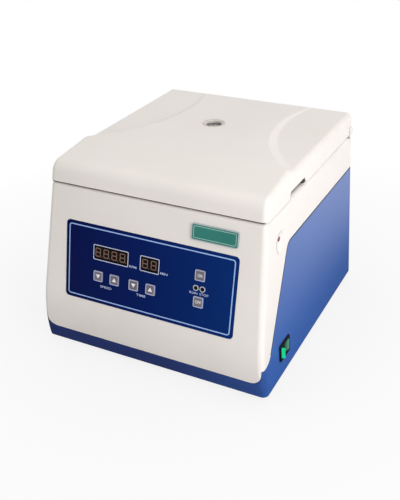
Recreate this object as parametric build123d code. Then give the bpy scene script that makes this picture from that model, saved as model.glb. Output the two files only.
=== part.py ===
"""Benchtop centrifuge with a hinged lid, a sloped control panel and a fixed-angle rotor.

Millimetres. +X is to the right of someone facing the control panel, +Y to the rear and +Z up.
The origin is on the bench, under the middle of the housing. Each sub-part has its own function
and its own file, and the driving sizes come first.
"""

from build123d import *
import math
import os

# Housing: a tapered two-colour shell, blue below and white above
WIDTH = 300.0
DEPTH = 324.0
FOOT_HEIGHT = 8.0
HOUSING_HEIGHT = 205.0
SIDE_DRAFT = 3.8
FRONT_LEAN = 11.7
FRONT_RADIUS = 172.0
BELLY_HEIGHT = 45.0
WALL = 3.0
DECK_THICKNESS = 4.0
CORNER_RADIUS = 7.0
DECK_EDGE_RADIUS = 6.0

# Line where the blue base meets the white upper housing, with its shadow gap
APRON_HEIGHT = 20.0
APRON_CORNER = 14.0
APRON_INSET = 5.5
SPLIT_STEP_Y = 19.0
SPLIT_STEP_HEIGHT = 42.0
SPLIT_RISE_Y = 84.0
SPLIT_HEIGHT = 160.0
SPLIT_LOW_RADIUS = 14.0
SPLIT_HIGH_RADIUS = 14.0
SEAM_WIDTH = 0.7
SEAM_DEPTH = 1.2

# Lid
LID_GAP = 2.0
LID_SIDE_INSET = 13.5
LID_FRONT_SETBACK = 28.6
LID_FRONT_HEIGHT = 22.3
LID_SLOPE = 6.5
LID_CREST_HEIGHT = 31.0
LID_REAR_HEIGHT = 27.8
LID_CREST_RUN = 214.0
LID_FRONT_RADIUS = 16.0
LID_CREST_RADIUS = 200.0
LID_REAR_RADIUS = 9.0
LID_EDGE_RADIUS = 7.0
LID_WALL = 3.0
LID_ROOF = 3.5
LINER_THICKNESS = 2.0
LINER_RISE = 3.0

# Shallow scallops in both sides of the lid's top
SCALLOP_RADIUS = 208.0
SCALLOP_CENTRE_OUT = 119.0
SCALLOP_CENTRE_Y = 95.0
SCALLOP_FLOOR = 26.5
SCALLOP_SLOPE_WIDTH = 10.0
SCALLOP_DEPTH = 4.0
SCALLOP_TILT = 0.4
SCALLOP_BLEND = 6.0

# Finger notch in the lid's right edge
NOTCH_Y = -44.0
NOTCH_LENGTH = 43.0
NOTCH_HEIGHT = 7.5
NOTCH_FLARE = 5.5
NOTCH_DEPTH = 9.0

# Sight port in the lid
PORT_X = -9.0
PORT_Y = 43.0
PORT_RADIUS = 14.0
PORT_GLASS_RADIUS = 8.5
PORT_TUBE_RADIUS = 11.0
PORT_FLANGE = 1.8
PORT_SEAT = 1.0

# Lid hinge
HINGE_INSET = 9.0
HINGE_RISE = 6.0
HINGE_PIN_RADIUS = 3.0
HINGE_EAR_RADIUS = 5.5
HINGE_EAR_THICKNESS = 3.0
HINGE_CAP_RADIUS = 5.0
HINGE_TROUGH_RADIUS = 10.6
RUNNING_FIT = 0.05

# Chamber, on the rotor's axis
AXIS_Y = 30.0
BOWL_RADIUS = 98.0
BOWL_WALL = 1.5
BOWL_FLOOR = 108.0
BOWL_FLANGE = 10.0
BOWL_CORNER = 12.0
BOWL_HOLE_RADIUS = 24.0
GASKET_WIDTH = 7.0

# Motor and shaft
SHAFT_RADIUS = 8.0
SHAFT_STUD_RADIUS = 5.0
SHAFT_BEARING_RADIUS = 7.0
MOTOR_RADIUS = 52.0
MOTOR_TOP = 98.0
MOTOR_WALL = 3.0
BEARING_RADIUS = 15.0
BEARING_HEIGHT = 9.0
ARMATURE_RADIUS = 24.0
AIR_GAP = 1.0
MOUNT_RADIUS = 78.0
MOUNT_THICKNESS = 4.0
DAMPER_HEIGHT = 20.0
DAMPER_RADIUS = 11.0
DAMPER_CIRCLE = 62.0

# Rotor
ROTOR_TILT = 30.0
ROTOR_HOLES = 6
ROTOR_HOLE_RADIUS = 14.5
ROTOR_HOLE_DEPTH = 56.0
ROTOR_MOUTH_RADIUS = 42.0
ROTOR_MOUTH_HEIGHT = 178.0
ROTOR_BASE = 118.0
ROTOR_HUB_TOP = 172.0
ROTOR_WALL = 3.0
NUT_RADIUS = 17.0
NUT_HEIGHT = 16.0

# Control panel, on the sloped front
PANEL_X = -1.0
PANEL_WIDTH = 221.0
PANEL_HEIGHT = 95.5
PANEL_CENTRE_HEIGHT = 118.4
PANEL_CORNER = 5.0
PANEL_THICKNESS = 1.2
PANEL_POCKET = 0.8
SPEED_DISPLAY_X = -48.5
TIME_DISPLAY_X = 3.0
DISPLAY_V = 15.4
DISPLAY_HEIGHT = 17.6
SPEED_DISPLAY_WIDTH = 46.4
TIME_DISPLAY_WIDTH = 24.0
DISPLAY_FRAME_LAP = 1.4
DISPLAY_FRAME_EDGE = 0.5
DISPLAY_FRAME_THICKNESS = 0.6
KEY_WIDTH = 12.4
KEY_HEIGHT = 12.8
KEY_PROUD = 1.0
KEY_TRAVEL = 0.6
KEY_SWITCH_HEIGHT = 3.6
KEY_CORNER = 1.5
ARROW_KEY_V = -13.8
ARROW_KEY_XS = {
    "speed_down_key": -64.7,
    "speed_up_key": -42.5,
    "time_down_key": -16.6,
    "time_up_key": 5.6,
}
START_KEY_X = 66.4
START_KEY_V = 17.4
STOP_KEY_V = -13.9
LAMP_XS = (62.2, 70.3)
LAMP_V = 2.0
LAMP_RADIUS = 2.5
LAMP_RING_RADIUS = 3.4
LAMP_RING_THICKNESS = 0.6
BOARD_THICKNESS = 1.6
BOARD_DEPTH = 13.0
BADGE_X = 79.7
BADGE_V = 65.7
BADGE_WIDTH = 56.0
BADGE_HEIGHT = 19.0
BADGE_THICKNESS = 1.0
BADGE_CORNER = 3.0

# Lid release on the right side
RELEASE_Y = -100.5
RELEASE_HEIGHT = 174.0
DISH_BACK = 1.8
DISH_DROP = 4.6
DISH_RADIUS = 11.5
DISH_DEPTH = 2.4
CRESCENT_RADIUS = 13.5
CRESCENT_WIDTH = 2.2
CRESCENT_DEPTH = 2.8
CRESCENT_HEADING = 154.0
RELEASE_BOSS_RADIUS = 17.0
RELEASE_BOSS_DEPTH = 9.0
BUTTON_RADIUS = 3.0
BUTTON_RECESS = 0.9
COLLAR_RADIUS = 5.0
COLLAR_THICKNESS = 2.0
LATCH_INSET = 38.0
LATCH_PIVOT_HEIGHT = 182.5
HOOK_TOP = 14.5
HOOK_FOOT = 16.0
HOOK_NOSE_DEPTH = 4.0
LATCH_BAR = 6.0
LATCH_HOOK_THICKNESS = 5.0
LATCH_PIN_RADIUS = 2.0
LATCH_SPRING_LENGTH = 4.0
STRIKER_WIDTH = 12.0
STRIKER_THICKNESS = 2.0

# Power switch on the right side
SWITCH_Y = -99.5
SWITCH_HEIGHT = 32.5
SWITCH_LENGTH = 29.6
SWITCH_WIDTH = 21.5
SWITCH_FLANGE = 2.0
SWITCH_LAP = 2.8
SWITCH_BODY_DEPTH = 22.0
ROCKER_LENGTH = 23.8
ROCKER_WIDTH = 13.5
ROCKER_TILT = 9.0
ROCKER_PIVOT_DEPTH = 2.0
ROCKER_RIDGE = 6.0
ROCKER_RIDGE_SET_BACK = 1.3
ROCKER_VALLEY = 3.2
ROCKER_KEEL = 8.5
ROCKER_KEEL_WIDTH = 7.0
ROCKER_SKIRT = 1.5

# Rear sockets
INLET_X = -95.0
FUSE_X = -58.0
SOCKET_HEIGHT = 40.0
INLET_WIDTH = 31.0
INLET_HEIGHT = 25.0
FUSE_RADIUS = 7.5

# Base plate and feet
PLATE_THICKNESS = 2.5
FOOT_INSET_X = 32.0
FOOT_INSET_Y = 40.0
FOOT_RADIUS = 11.0
BOSS_SIZE = 16.0
BOSS_HEIGHT = 28.0

# Small hardware and clearances
CLEARANCE = 0.35
SCREW_RADIUS = 2.0
SCREW_HEAD_RADIUS = 3.8
SCREW_HEAD_HEIGHT = 2.2

# Heights and planes that follow
APRON_HALF_WIDTH = WIDTH / 2 - APRON_INSET
LID_HALF_WIDTH = WIDTH / 2 - LID_SIDE_INSET
SCALLOP_CENTRE_X = WIDTH / 2 + SCALLOP_CENTRE_OUT
LATCH_X = WIDTH / 2 - LATCH_INSET
FOOT_X = WIDTH / 2 - FOOT_INSET_X
FOOT_Y = DEPTH / 2 - FOOT_INSET_Y
HOUSING_Z = FOOT_HEIGHT
DECK_Z = HOUSING_Z + HOUSING_HEIGHT
LID_Z = DECK_Z + LID_GAP
LINER_Z = LID_Z + LINER_RISE
Y_FRONT = -DEPTH / 2
Y_REAR = DEPTH / 2
DRAFT = math.tan(math.radians(SIDE_DRAFT))
LEAN = math.tan(math.radians(FRONT_LEAN))
ARC_Y = Y_FRONT + FRONT_RADIUS
ARC_Z = HOUSING_Z + BELLY_HEIGHT
CREST_SLOPE = (LID_REAR_HEIGHT - LID_CREST_HEIGHT) / LID_CREST_RUN
HINGE_Y = Y_REAR - HINGE_INSET
HINGE_Z = DECK_Z + HINGE_RISE
PLATE_TOP = HOUSING_Z + PLATE_THICKNESS
REACH = WIDTH + DEPTH


def lean_line(inset=0.0):
    """Tangent point (y, z) where the front's arc becomes its leaning flat."""
    radius = FRONT_RADIUS - inset
    angle = math.radians(FRONT_LEAN)
    return ARC_Y - radius * math.cos(angle), ARC_Z + radius * math.sin(angle)


def front_y(z, inset=0.0):
    """Front of the leaning flat, carried on up or down, at height z."""
    y, tangent_z = lean_line(inset)
    return y + (z - tangent_z) * LEAN


def half_width(z, inset=0.0):
    """Half of the housing's width at height z."""
    return WIDTH / 2 - DRAFT * (z - HOUSING_Z) - inset / math.cos(math.radians(SIDE_DRAFT))


def lid_half_width(z, inset=0.0):
    """Half of the lid's width at height z."""
    return LID_HALF_WIDTH - DRAFT * (z - LID_Z) - inset / math.cos(math.radians(SIDE_DRAFT))


def box(x0, x1, y0, y1, z0, z1):
    """Box between two corners."""
    centre = ((x0 + x1) / 2, (y0 + y1) / 2, (z0 + z1) / 2)
    return Pos(*centre) * Box(x1 - x0, y1 - y0, z1 - z0)


def rod(radius, z0, z1, x=0.0, y=0.0):
    """Upright cylinder between two heights."""
    return Pos(x, y, (z0 + z1) / 2) * Cylinder(radius, z1 - z0)


def tube(outer, inner, z0, z1, x=0.0, y=0.0):
    """Upright tube between two heights."""
    return rod(outer, z0, z1, x, y) - rod(inner, z0 - 1, z1 + 1, x, y)


def rod_x(radius, x0, x1, y, z):
    """Cylinder along X."""
    return Pos((x0 + x1) / 2, y, z) * Rot(0, 90, 0) * Cylinder(radius, abs(x1 - x0))


def slab(plane, u, v, width, height, w0, w1, corner=0.0):
    """Rectangular slab on a plane, from depth w0 to w1 along the plane's normal."""
    shape = RectangleRounded(width, height, corner) if corner else Rectangle(width, height)
    return extrude(plane.offset(w0) * Pos(u, v) * shape, w1 - w0)


def peg(plane, u, v, radius, w0, w1):
    """Round peg on a plane, from depth w0 to w1 along the plane's normal."""
    return extrude(plane.offset(w0) * Pos(u, v) * Circle(radius), w1 - w0)


def revolve_on_axis(points):
    """Solid of revolution about the rotor's axis from (radius, height) points."""
    face = make_face(Polyline(*[(r, 0, z) for r, z in points], close=True))
    return Pos(0, AXIS_Y, 0) * revolve(face, Axis.Z)


def taper(half_width_at, z0, z1):
    """Solid between the two drafted sides, endless along Y."""
    low, high = half_width_at(z0), half_width_at(z1)
    outline = Polyline((-low, 0, z0), (low, 0, z0), (high, 0, z1), (-high, 0, z1), close=True)
    return extrude(make_face(outline), REACH, both=True, dir=(0, 1, 0))


def upright_edges(solid, z0, z1):
    """Edges between the sides and the front or rear, away from the top and bottom."""
    picked = []
    for edge in solid.edges():
        bounds = edge.bounding_box()
        tall = bounds.size.Z > 1.0
        if tall and bounds.min.Z > z0 - 0.1 and bounds.max.Z < z1 + 0.1:
            picked.append(edge)
    return picked


def housing_block(inset, z0, z1, top_radius):
    """Outer form of the housing, drawn in by a wall thickness."""
    radius = FRONT_RADIUS - inset
    tangent_y, tangent_z = lean_line(inset)
    low_y = ARC_Y - math.sqrt(radius**2 - (ARC_Z - z0) ** 2)
    top_y = front_y(z1, inset)
    rear = Y_REAR - inset
    outline = [
        ThreePointArc((0, low_y, z0), (0, ARC_Y - radius, ARC_Z), (0, tangent_y, tangent_z)),
        Line((0, tangent_y, tangent_z), (0, top_y, z1)),
        Line((0, top_y, z1), (0, rear, z1)),
        Line((0, rear, z1), (0, rear, z0)),
        Line((0, rear, z0), (0, low_y, z0)),
    ]
    prism = extrude(make_face(outline), WIDTH, both=True, dir=(1, 0, 0))
    block = prism & taper(lambda z: half_width(z, inset), z0, z1)
    block = fillet(upright_edges(block, z0, z1), CORNER_RADIUS - inset)
    top = block.faces().sort_by(Axis.Z)[-1]
    return fillet(top.edges(), top_radius)


def below_split(drop):
    """Everything under the line where the two housings meet, lowered by a drop."""
    z_step = HOUSING_Z + SPLIT_STEP_HEIGHT - drop
    z_high = HOUSING_Z + SPLIT_HEIGHT - drop
    y_step = Y_FRONT + SPLIT_STEP_Y
    y_high = Y_FRONT + SPLIT_RISE_Y
    front = Y_FRONT - SPLIT_STEP_Y
    corners = [
        (front, HOUSING_Z - FOOT_HEIGHT),
        (front, z_step - SPLIT_STEP_Y * 0.3),
        (y_step, z_step),
        (y_high, z_high),
        (REACH, z_high),
        (REACH, HOUSING_Z - FOOT_HEIGHT),
    ]
    face = make_face(Polyline(*[(y, z) for y, z in corners], close=True))
    low = [v for v in face.vertices() if abs(v.Y - z_step) < 0.01 and abs(v.X - y_step) < 0.01]
    face = fillet(low, SPLIT_LOW_RADIUS)
    high = [v for v in face.vertices() if abs(v.Y - z_high) < 0.01 and abs(v.X - y_high) < 0.01]
    face = fillet(high, SPLIT_HIGH_RADIUS)
    region = extrude(Plane.YZ * face, WIDTH, both=True)
    z_apron = HOUSING_Z + APRON_HEIGHT - drop
    half = APRON_HALF_WIDTH + drop
    tall = HOUSING_HEIGHT
    apron_face = Pos(0, z_apron + tall / 2) * RectangleRounded(2 * half, tall, APRON_CORNER)
    apron = extrude(Plane.XZ.offset(-y_step) * apron_face, y_step - front + 1)
    return region - apron


PANEL_Z = HOUSING_Z + PANEL_CENTRE_HEIGHT
PANEL_PLANE = Plane(
    origin=(PANEL_X, front_y(PANEL_Z), PANEL_Z),
    x_dir=(1, 0, 0),
    z_dir=(0, -math.cos(math.radians(FRONT_LEAN)), math.sin(math.radians(FRONT_LEAN))),
)


def right_side_plane(y, height):
    """Plane on the housing's right side, with its X to the rear and its Z outwards."""
    z = HOUSING_Z + height
    angle = math.radians(SIDE_DRAFT)
    return Plane(
        origin=(half_width(z), y, z),
        x_dir=(0, 1, 0),
        z_dir=(math.cos(angle), 0, math.sin(angle)),
    )


RELEASE_PLANE = right_side_plane(RELEASE_Y, RELEASE_HEIGHT)
SWITCH_PLANE = right_side_plane(SWITCH_Y, SWITCH_HEIGHT)
SOCKET_Z = HOUSING_Z + SOCKET_HEIGHT
REAR_PLANE = Plane(origin=(0, Y_REAR, SOCKET_Z), x_dir=(-1, 0, 0), z_dir=(0, 1, 0))

KEYS = {name: (x, ARROW_KEY_V) for name, x in ARROW_KEY_XS.items()}
KEYS["start_key"] = (START_KEY_X, START_KEY_V)
KEYS["stop_key"] = (START_KEY_X, STOP_KEY_V)
DISPLAYS = {
    "speed_display": (SPEED_DISPLAY_X, SPEED_DISPLAY_WIDTH),
    "time_display": (TIME_DISPLAY_X, TIME_DISPLAY_WIDTH),
}
PANEL_FACE = PANEL_THICKNESS - PANEL_POCKET


def panel_openings(gap, w0, w1):
    """Cutters through the sloped front for the displays, keys and lamps."""
    cutters = []
    for x, width in DISPLAYS.values():
        size = (width + 2 * gap, DISPLAY_HEIGHT + 2 * gap)
        cutters.append(slab(PANEL_PLANE, x, DISPLAY_V, *size, w0, w1))
    for x, v in KEYS.values():
        size = (KEY_WIDTH + 2 * gap, KEY_HEIGHT + 2 * gap)
        cutters.append(slab(PANEL_PLANE, x, v, *size, w0, w1, KEY_CORNER))
    for x in LAMP_XS:
        cutters.append(peg(PANEL_PLANE, x, LAMP_V, LAMP_RADIUS + gap / 3, w0, w1))
    return cutters


def corner_signs():
    """The four corners, as signs along X and Y."""
    return [(sx, sy) for sx in (-1, 1) for sy in (-1, 1)]


def housing_shell():
    """Whole hollow housing, before it is parted into base and upper."""
    outer = housing_block(0.0, HOUSING_Z, DECK_Z, DECK_EDGE_RADIUS)
    inner = housing_block(WALL, HOUSING_Z - 1, DECK_Z - DECK_THICKNESS, DECK_EDGE_RADIUS - WALL)
    return outer, inner


BOSS_X = half_width(HOUSING_Z) - WALL - BOSS_SIZE / 2 - 6
BOSS_Y = Y_REAR - WALL - BOSS_SIZE / 2 - 6


def base_housing(outer, inner):
    """Blue lower shell with corner bosses, rear grille, sockets and switch opening."""
    shell = outer - inner
    blue = shell & below_split(0.0)
    groove = (below_split(0.0) - below_split(SEAM_WIDTH)) & (outer - housing_block(
        SEAM_DEPTH, HOUSING_Z - 1, DECK_Z - SEAM_DEPTH, DECK_EDGE_RADIUS - SEAM_DEPTH))
    blue -= groove
    solid_core = outer & below_split(SEAM_WIDTH + 2)
    for sx, sy in corner_signs():
        x0 = sx * BOSS_X - BOSS_SIZE / 2
        y0 = sy * BOSS_Y - BOSS_SIZE / 2
        x1 = x0 + BOSS_SIZE + 30 if sx > 0 else x0 + BOSS_SIZE
        x0 = x0 - 30 if sx < 0 else x0
        top = PLATE_TOP + BOSS_HEIGHT
        boss = box(x0, x1, y0, y0 + BOSS_SIZE, PLATE_TOP, top) & solid_core
        blue += boss
        blue -= rod(SCREW_RADIUS, PLATE_TOP - 1, top - 6, sx * BOSS_X, sy * BOSS_Y)
    pad = box(INLET_X - 24, FUSE_X + 16, Y_REAR - WALL - 3, Y_REAR - 1, SOCKET_Z - 20, SOCKET_Z + 20)
    blue += pad
    blue -= slab(REAR_PLANE, -INLET_X, 0, INLET_WIDTH + 1, INLET_HEIGHT + 1, -2, 1, 2)
    blue -= slab(REAR_PLANE, -INLET_X, 0, INLET_WIDTH - 3.3, INLET_HEIGHT - 4.3, -12, 1, 2)
    blue -= peg(REAR_PLANE, -FUSE_X, 0, FUSE_RADIUS + 0.5, -2, 1)
    blue -= peg(REAR_PLANE, -FUSE_X, 0, FUSE_RADIUS - 1.2, -12, 1)
    for row in range(7):
        slot = slab(REAR_PLANE, -62, 12 + row * 9, 70, 4, -12, 1, 1.9)
        blue -= slot
    cut = (SWITCH_LENGTH - SWITCH_LAP + 0.4, SWITCH_WIDTH - SWITCH_LAP + 0.4)
    blue -= slab(SWITCH_PLANE, 0, 0, *cut, -WALL * 3, 1)
    return blue


def upper_housing(outer, inner):
    """White shell: sloped front, side bands and the deck round the chamber."""
    shell = outer - inner
    white = shell - below_split(0.0)
    half = WIDTH / 2
    rib = box(-half, half, Y_REAR - 20, Y_REAR - 1, DECK_Z - 10, DECK_Z - 1)
    for side in (-1, 1):
        x0, x1 = sorted((side * (HINGE_EAR_X - 18), side * half))
        rib += box(x0, x1, HINGE_FOOT_Y - 12, Y_REAR - 1, DECK_Z - 10, DECK_Z - 1)
    white += rib & outer
    release_boss = peg(RELEASE_PLANE, DISH_BACK, -DISH_DROP, RELEASE_BOSS_RADIUS, -RELEASE_BOSS_DEPTH, -0.5)
    release_boss = release_boss & outer
    white += release_boss
    for u, v in board_posts():
        white += peg(PANEL_PLANE, u, v, 4.0, -BOARD_DEPTH, -WALL + 0.5)
    white -= rod(BOWL_RADIUS + BOWL_WALL + CLEARANCE, DECK_Z - 20, DECK_Z + 1, 0, AXIS_Y)
    rebate = BOWL_RADIUS + BOWL_FLANGE + CLEARANCE
    white -= rod(rebate, DECK_Z - BOWL_WALL, DECK_Z + 1, 0, AXIS_Y)
    white -= rod_x(HINGE_TROUGH_RADIUS, -WIDTH / 2, WIDTH / 2, HINGE_Y, HINGE_Z)
    white -= slab(PANEL_PLANE, 0, 0, PANEL_WIDTH + 0.4, PANEL_HEIGHT + 0.4, -PANEL_POCKET, 4,
                  PANEL_CORNER)
    for cutter in panel_openings(CLEARANCE, -WALL - 1.5, 1):
        white -= cutter
    white = white - release_dish() - release_crescent()
    white -= peg(RELEASE_PLANE, 0, 0, BUTTON_RADIUS + 0.2, -RELEASE_BOSS_DEPTH - 1, 1)
    slot_x = LATCH_X - 9.0
    white -= box(slot_x - 3.5, slot_x + 5.0, RELEASE_Y - 9, RELEASE_Y + 9, DECK_Z - 6, DECK_Z + 1)
    for sx in (-1, 1):
        for x, y in hinge_screw_places():
            white -= rod(SCREW_RADIUS, DECK_Z - 12, DECK_Z + 1, sx * x, y)
    for x, y in latch_screw_places():
        white -= rod(SCREW_RADIUS, DECK_Z - DECK_THICKNESS - 1, DECK_Z - 1.2, x, y)
    return white


def release_dish():
    """Shallow round hollow that lets a fingertip reach the release button."""
    sphere_radius = (DISH_RADIUS**2 + DISH_DEPTH**2) / (2 * DISH_DEPTH)
    centre = Pos(DISH_BACK, -DISH_DROP, sphere_radius - DISH_DEPTH)
    return Location(RELEASE_PLANE) * centre * Sphere(sphere_radius)


def release_crescent():
    """Half-moon groove round the front of the hollow, widest in the middle and closed at both ends."""
    heading = math.radians(CRESCENT_HEADING)
    u = DISH_BACK - CRESCENT_WIDTH * math.cos(heading)
    v = -DISH_DROP - CRESCENT_WIDTH * math.sin(heading)
    whole = peg(RELEASE_PLANE, DISH_BACK, -DISH_DROP, CRESCENT_RADIUS, -CRESCENT_DEPTH, 1)
    return whole - peg(RELEASE_PLANE, u, v, CRESCENT_RADIUS, -CRESCENT_DEPTH - 1, 2)


def board_posts():
    """Where the display board stands on the front wall's posts."""
    u = PANEL_WIDTH / 2 - 14
    v = PANEL_HEIGHT / 2 - 8
    return [(su * u, sv * v) for su in (-1, 1) for sv in (-1, 1)]


HINGE_FOOT_Y = Y_REAR - 36.0
HINGE_EAR_X = lid_half_width(HINGE_Z, LID_WALL) - CLEARANCE - HINGE_EAR_THICKNESS


def hinge_screw_places():
    """Screw positions in each hinge bracket's foot, for the right side."""
    x = HINGE_EAR_X - 8
    return [(x, HINGE_FOOT_Y - 5), (x, HINGE_FOOT_Y + 7)]


def hinge_brackets():
    """Two steel brackets: a foot screwed to the deck and an ear for the pin."""
    ear_y0 = HINGE_FOOT_Y - 11
    outline = Polyline(
        (0, ear_y0, DECK_Z),
        (0, HINGE_FOOT_Y + 13, DECK_Z),
        (0, HINGE_Y, HINGE_Z - HINGE_EAR_RADIUS),
        (0, HINGE_Y, HINGE_Z + HINGE_EAR_RADIUS),
        (0, HINGE_Y - 8, HINGE_Z + HINGE_EAR_RADIUS - 1),
        (0, ear_y0, DECK_Z + 4),
        close=True,
    )
    ear = extrude(make_face(outline), HINGE_EAR_THICKNESS, dir=(1, 0, 0))
    ear = Pos(HINGE_EAR_X, 0, 0) * ear
    ear += rod_x(HINGE_EAR_RADIUS, HINGE_EAR_X, HINGE_EAR_X + HINGE_EAR_THICKNESS, HINGE_Y, HINGE_Z)
    foot = box(HINGE_EAR_X - 15, HINGE_EAR_X + 0.5, ear_y0, HINGE_FOOT_Y + 13, DECK_Z, DECK_Z + 2)
    bracket = ear + foot
    bracket -= rod_x(HINGE_PIN_RADIUS + RUNNING_FIT, HINGE_EAR_X - 1, HINGE_EAR_X + 9, HINGE_Y, HINGE_Z)
    for x, y in hinge_screw_places():
        bracket -= rod(SCREW_RADIUS, DECK_Z - 1, DECK_Z + 5, x, y)
    return Compound(children=[bracket, mirror(bracket, Plane.YZ)])


def hinge_screws():
    """Screws that hold the hinge brackets to the deck."""
    screws = []
    for sx in (-1, 1):
        for x, y in hinge_screw_places():
            shank = rod(SCREW_RADIUS, DECK_Z - 9, DECK_Z + 2.5, sx * x, y)
            screws.append(shank + rod(SCREW_HEAD_RADIUS, DECK_Z + 2, DECK_Z + 3.6, sx * x, y))
    return screws


def hinge_pins():
    """Two headed pins, fixed in the lid's cheeks and turning in the ears."""
    head_x = lid_half_width(HINGE_Z - HINGE_CAP_RADIUS) - 1.2
    pin = rod_x(HINGE_PIN_RADIUS, HINGE_EAR_X - 2, head_x + 0.5, HINGE_Y, HINGE_Z)
    pin += rod_x(HINGE_CAP_RADIUS, head_x, head_x + 2.0, HINGE_Y, HINGE_Z)
    return Compound(children=[pin, mirror(pin, Plane.YZ)])


def line_crossing(point, slope, other, other_slope):
    """Where two lines z = z0 + slope (y - y0) cross."""
    rise = other[1] - point[1] - other_slope * other[0] + slope * point[0]
    y = rise / (slope - other_slope)
    return y, point[1] + slope * (y - point[0])


def soften(solid, edges, radius):
    """Round the edges, with a smaller radius where the full one does not fit."""
    for share in (1.0, 0.8, 0.6, 0.4):
        try:
            rounded = fillet(edges, radius * share)
        except Exception:
            continue
        if rounded.is_valid:
            return rounded
    return solid


def lid_half(inset, z0):
    """Right half of the lid's form with sharp side edges, drawn in by a wall thickness."""
    slope = math.tan(math.radians(LID_SLOPE))
    cos_lean = math.cos(math.radians(FRONT_LEAN))
    front_foot = (Y_FRONT + LID_FRONT_SETBACK + inset / cos_lean, LID_Z)
    slope_point = (Y_FRONT + LID_FRONT_SETBACK + 5.0, LID_Z + LID_FRONT_HEIGHT - inset)
    rear_top = (Y_REAR - inset, LID_Z + LID_REAR_HEIGHT - inset)
    corner = line_crossing(front_foot, 1 / LEAN, slope_point, slope)
    crest = line_crossing(slope_point, slope, rear_top, CREST_SLOPE)
    foot = (front_foot[0] + (z0 - LID_Z) * LEAN, z0)
    outline = Polyline(foot, corner, crest, rear_top, (Y_REAR - inset, z0), close=True)
    face = make_face(outline)
    rounds = (
        (corner, LID_FRONT_RADIUS - inset),
        (crest, LID_CREST_RADIUS),
        (rear_top, LID_REAR_RADIUS - inset),
    )
    for place, radius in rounds:
        near = [v for v in face.vertices() if math.hypot(v.X - place[0], v.Y - place[1]) < 0.01]
        face = fillet(near, radius)
    prism = extrude(Plane.YZ * face, WIDTH)
    return prism & taper(lambda z: lid_half_width(z, inset), z0, LID_Z + 2 * LID_CREST_HEIGHT)


def round_side(half, radius):
    """Round the edges along the side of a half lid, and join it to its mirror image."""
    edges = []
    for edge in half.edges():
        bounds = edge.bounding_box()
        if bounds.min.X > LID_HALF_WIDTH * 0.85 and bounds.size.Z > 0.01:
            edges.append(edge)
    half = soften(half, edges, radius)
    return half + mirror(half, Plane.YZ)


def lid_block(inset, z0, roof):
    """Inner form of the lid, drawn in by a wall thickness, under a flat roof."""
    block = round_side(lid_half(inset, z0), LID_EDGE_RADIUS - inset)
    return block & box(-WIDTH, WIDTH, -DEPTH, DEPTH, z0 - 1, roof)


def lid_form():
    """Outer form of the lid, with the scallops in both sides of its top."""
    half = lid_half(0.0, LID_Z) - scallop()
    step = [f for f in half.faces() if f.geom_type == GeomType.CONE]
    if step:
        edges = [e for e in step[0].edges() if e.length > SCALLOP_RADIUS / 4]
        half = soften(half, edges, SCALLOP_BLEND)
    return round_side(half, LID_EDGE_RADIUS)


def scallop():
    """Shallow cone that cuts the recess into the right side of the lid's top."""
    top = SCALLOP_DEPTH * 3
    radius = SCALLOP_RADIUS - SCALLOP_SLOPE_WIDTH
    spread = SCALLOP_SLOPE_WIDTH * 3
    cone = Pos(0, 0, top / 2) * Cone(radius, radius + spread, top)
    place = Pos(SCALLOP_CENTRE_X, SCALLOP_CENTRE_Y, LID_Z + SCALLOP_FLOOR)
    return place * Rot(SCALLOP_TILT, 0, 0) * cone


def port_height():
    """Height of the lid's top at the sight port."""
    return LID_Z + LID_REAR_HEIGHT - (Y_REAR - PORT_Y) * CREST_SLOPE


LINER_BOSSES = [(104.0, -72.0), (-104.0, -72.0), (88.0, 130.0), (-88.0, 130.0)]
LINER_TOP = LINER_Z + LINER_THICKNESS


def lid_shell():
    """White outer lid with its scallops, finger notch, bosses and port seat."""
    roof = LID_Z + SCALLOP_FLOOR - LID_ROOF - 0.8
    shell = lid_form() - lid_block(LID_WALL, LID_Z - 1, roof)
    for x, y in LINER_BOSSES:
        shell += rod(4.5, LINER_TOP, roof + 0.5, x, y)
        shell -= rod(SCREW_RADIUS, LINER_TOP - 1, roof - 4, x, y)
    shell -= rod(PORT_RADIUS + 0.2, port_height() - PORT_SEAT, port_height() + 9, PORT_X, PORT_Y)
    shell -= rod(PORT_TUBE_RADIUS + 0.2, roof - 1, port_height() + 9, PORT_X, PORT_Y)
    x = lid_half_width(LID_Z)
    low = NOTCH_LENGTH / 2 + NOTCH_FLARE
    high = NOTCH_LENGTH / 2
    outline = Polyline(
        (0, NOTCH_Y - high, LID_Z + NOTCH_HEIGHT),
        (0, NOTCH_Y + high, LID_Z + NOTCH_HEIGHT),
        (0, NOTCH_Y + low, LID_Z - 1),
        (0, NOTCH_Y - low, LID_Z - 1),
        close=True,
    )
    notch = Pos(x - NOTCH_DEPTH, 0, 0) * extrude(make_face(outline), NOTCH_DEPTH + 5, dir=(1, 0, 0))
    cup = Pos(x - NOTCH_DEPTH - 2, 0, 0) * extrude(make_face(Polyline(
        (0, NOTCH_Y - high - 2, LID_Z + NOTCH_HEIGHT + 2),
        (0, NOTCH_Y + high + 2, LID_Z + NOTCH_HEIGHT + 2),
        (0, NOTCH_Y + low + 2, LID_Z + 0.5),
        (0, NOTCH_Y - low - 2, LID_Z + 0.5),
        close=True,
    )), NOTCH_DEPTH, dir=(1, 0, 0))
    shell += cup
    shell -= notch
    head_x = lid_half_width(HINGE_Z - HINGE_CAP_RADIUS) - 1.2
    for side in (-1, 1):
        shell -= rod_x(HINGE_PIN_RADIUS, side * (head_x - 9), side * (head_x + 9), HINGE_Y, HINGE_Z)
        shell -= rod_x(HINGE_CAP_RADIUS + 0.2, side * head_x, side * (head_x + 9), HINGE_Y, HINGE_Z)
    return shell


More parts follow.
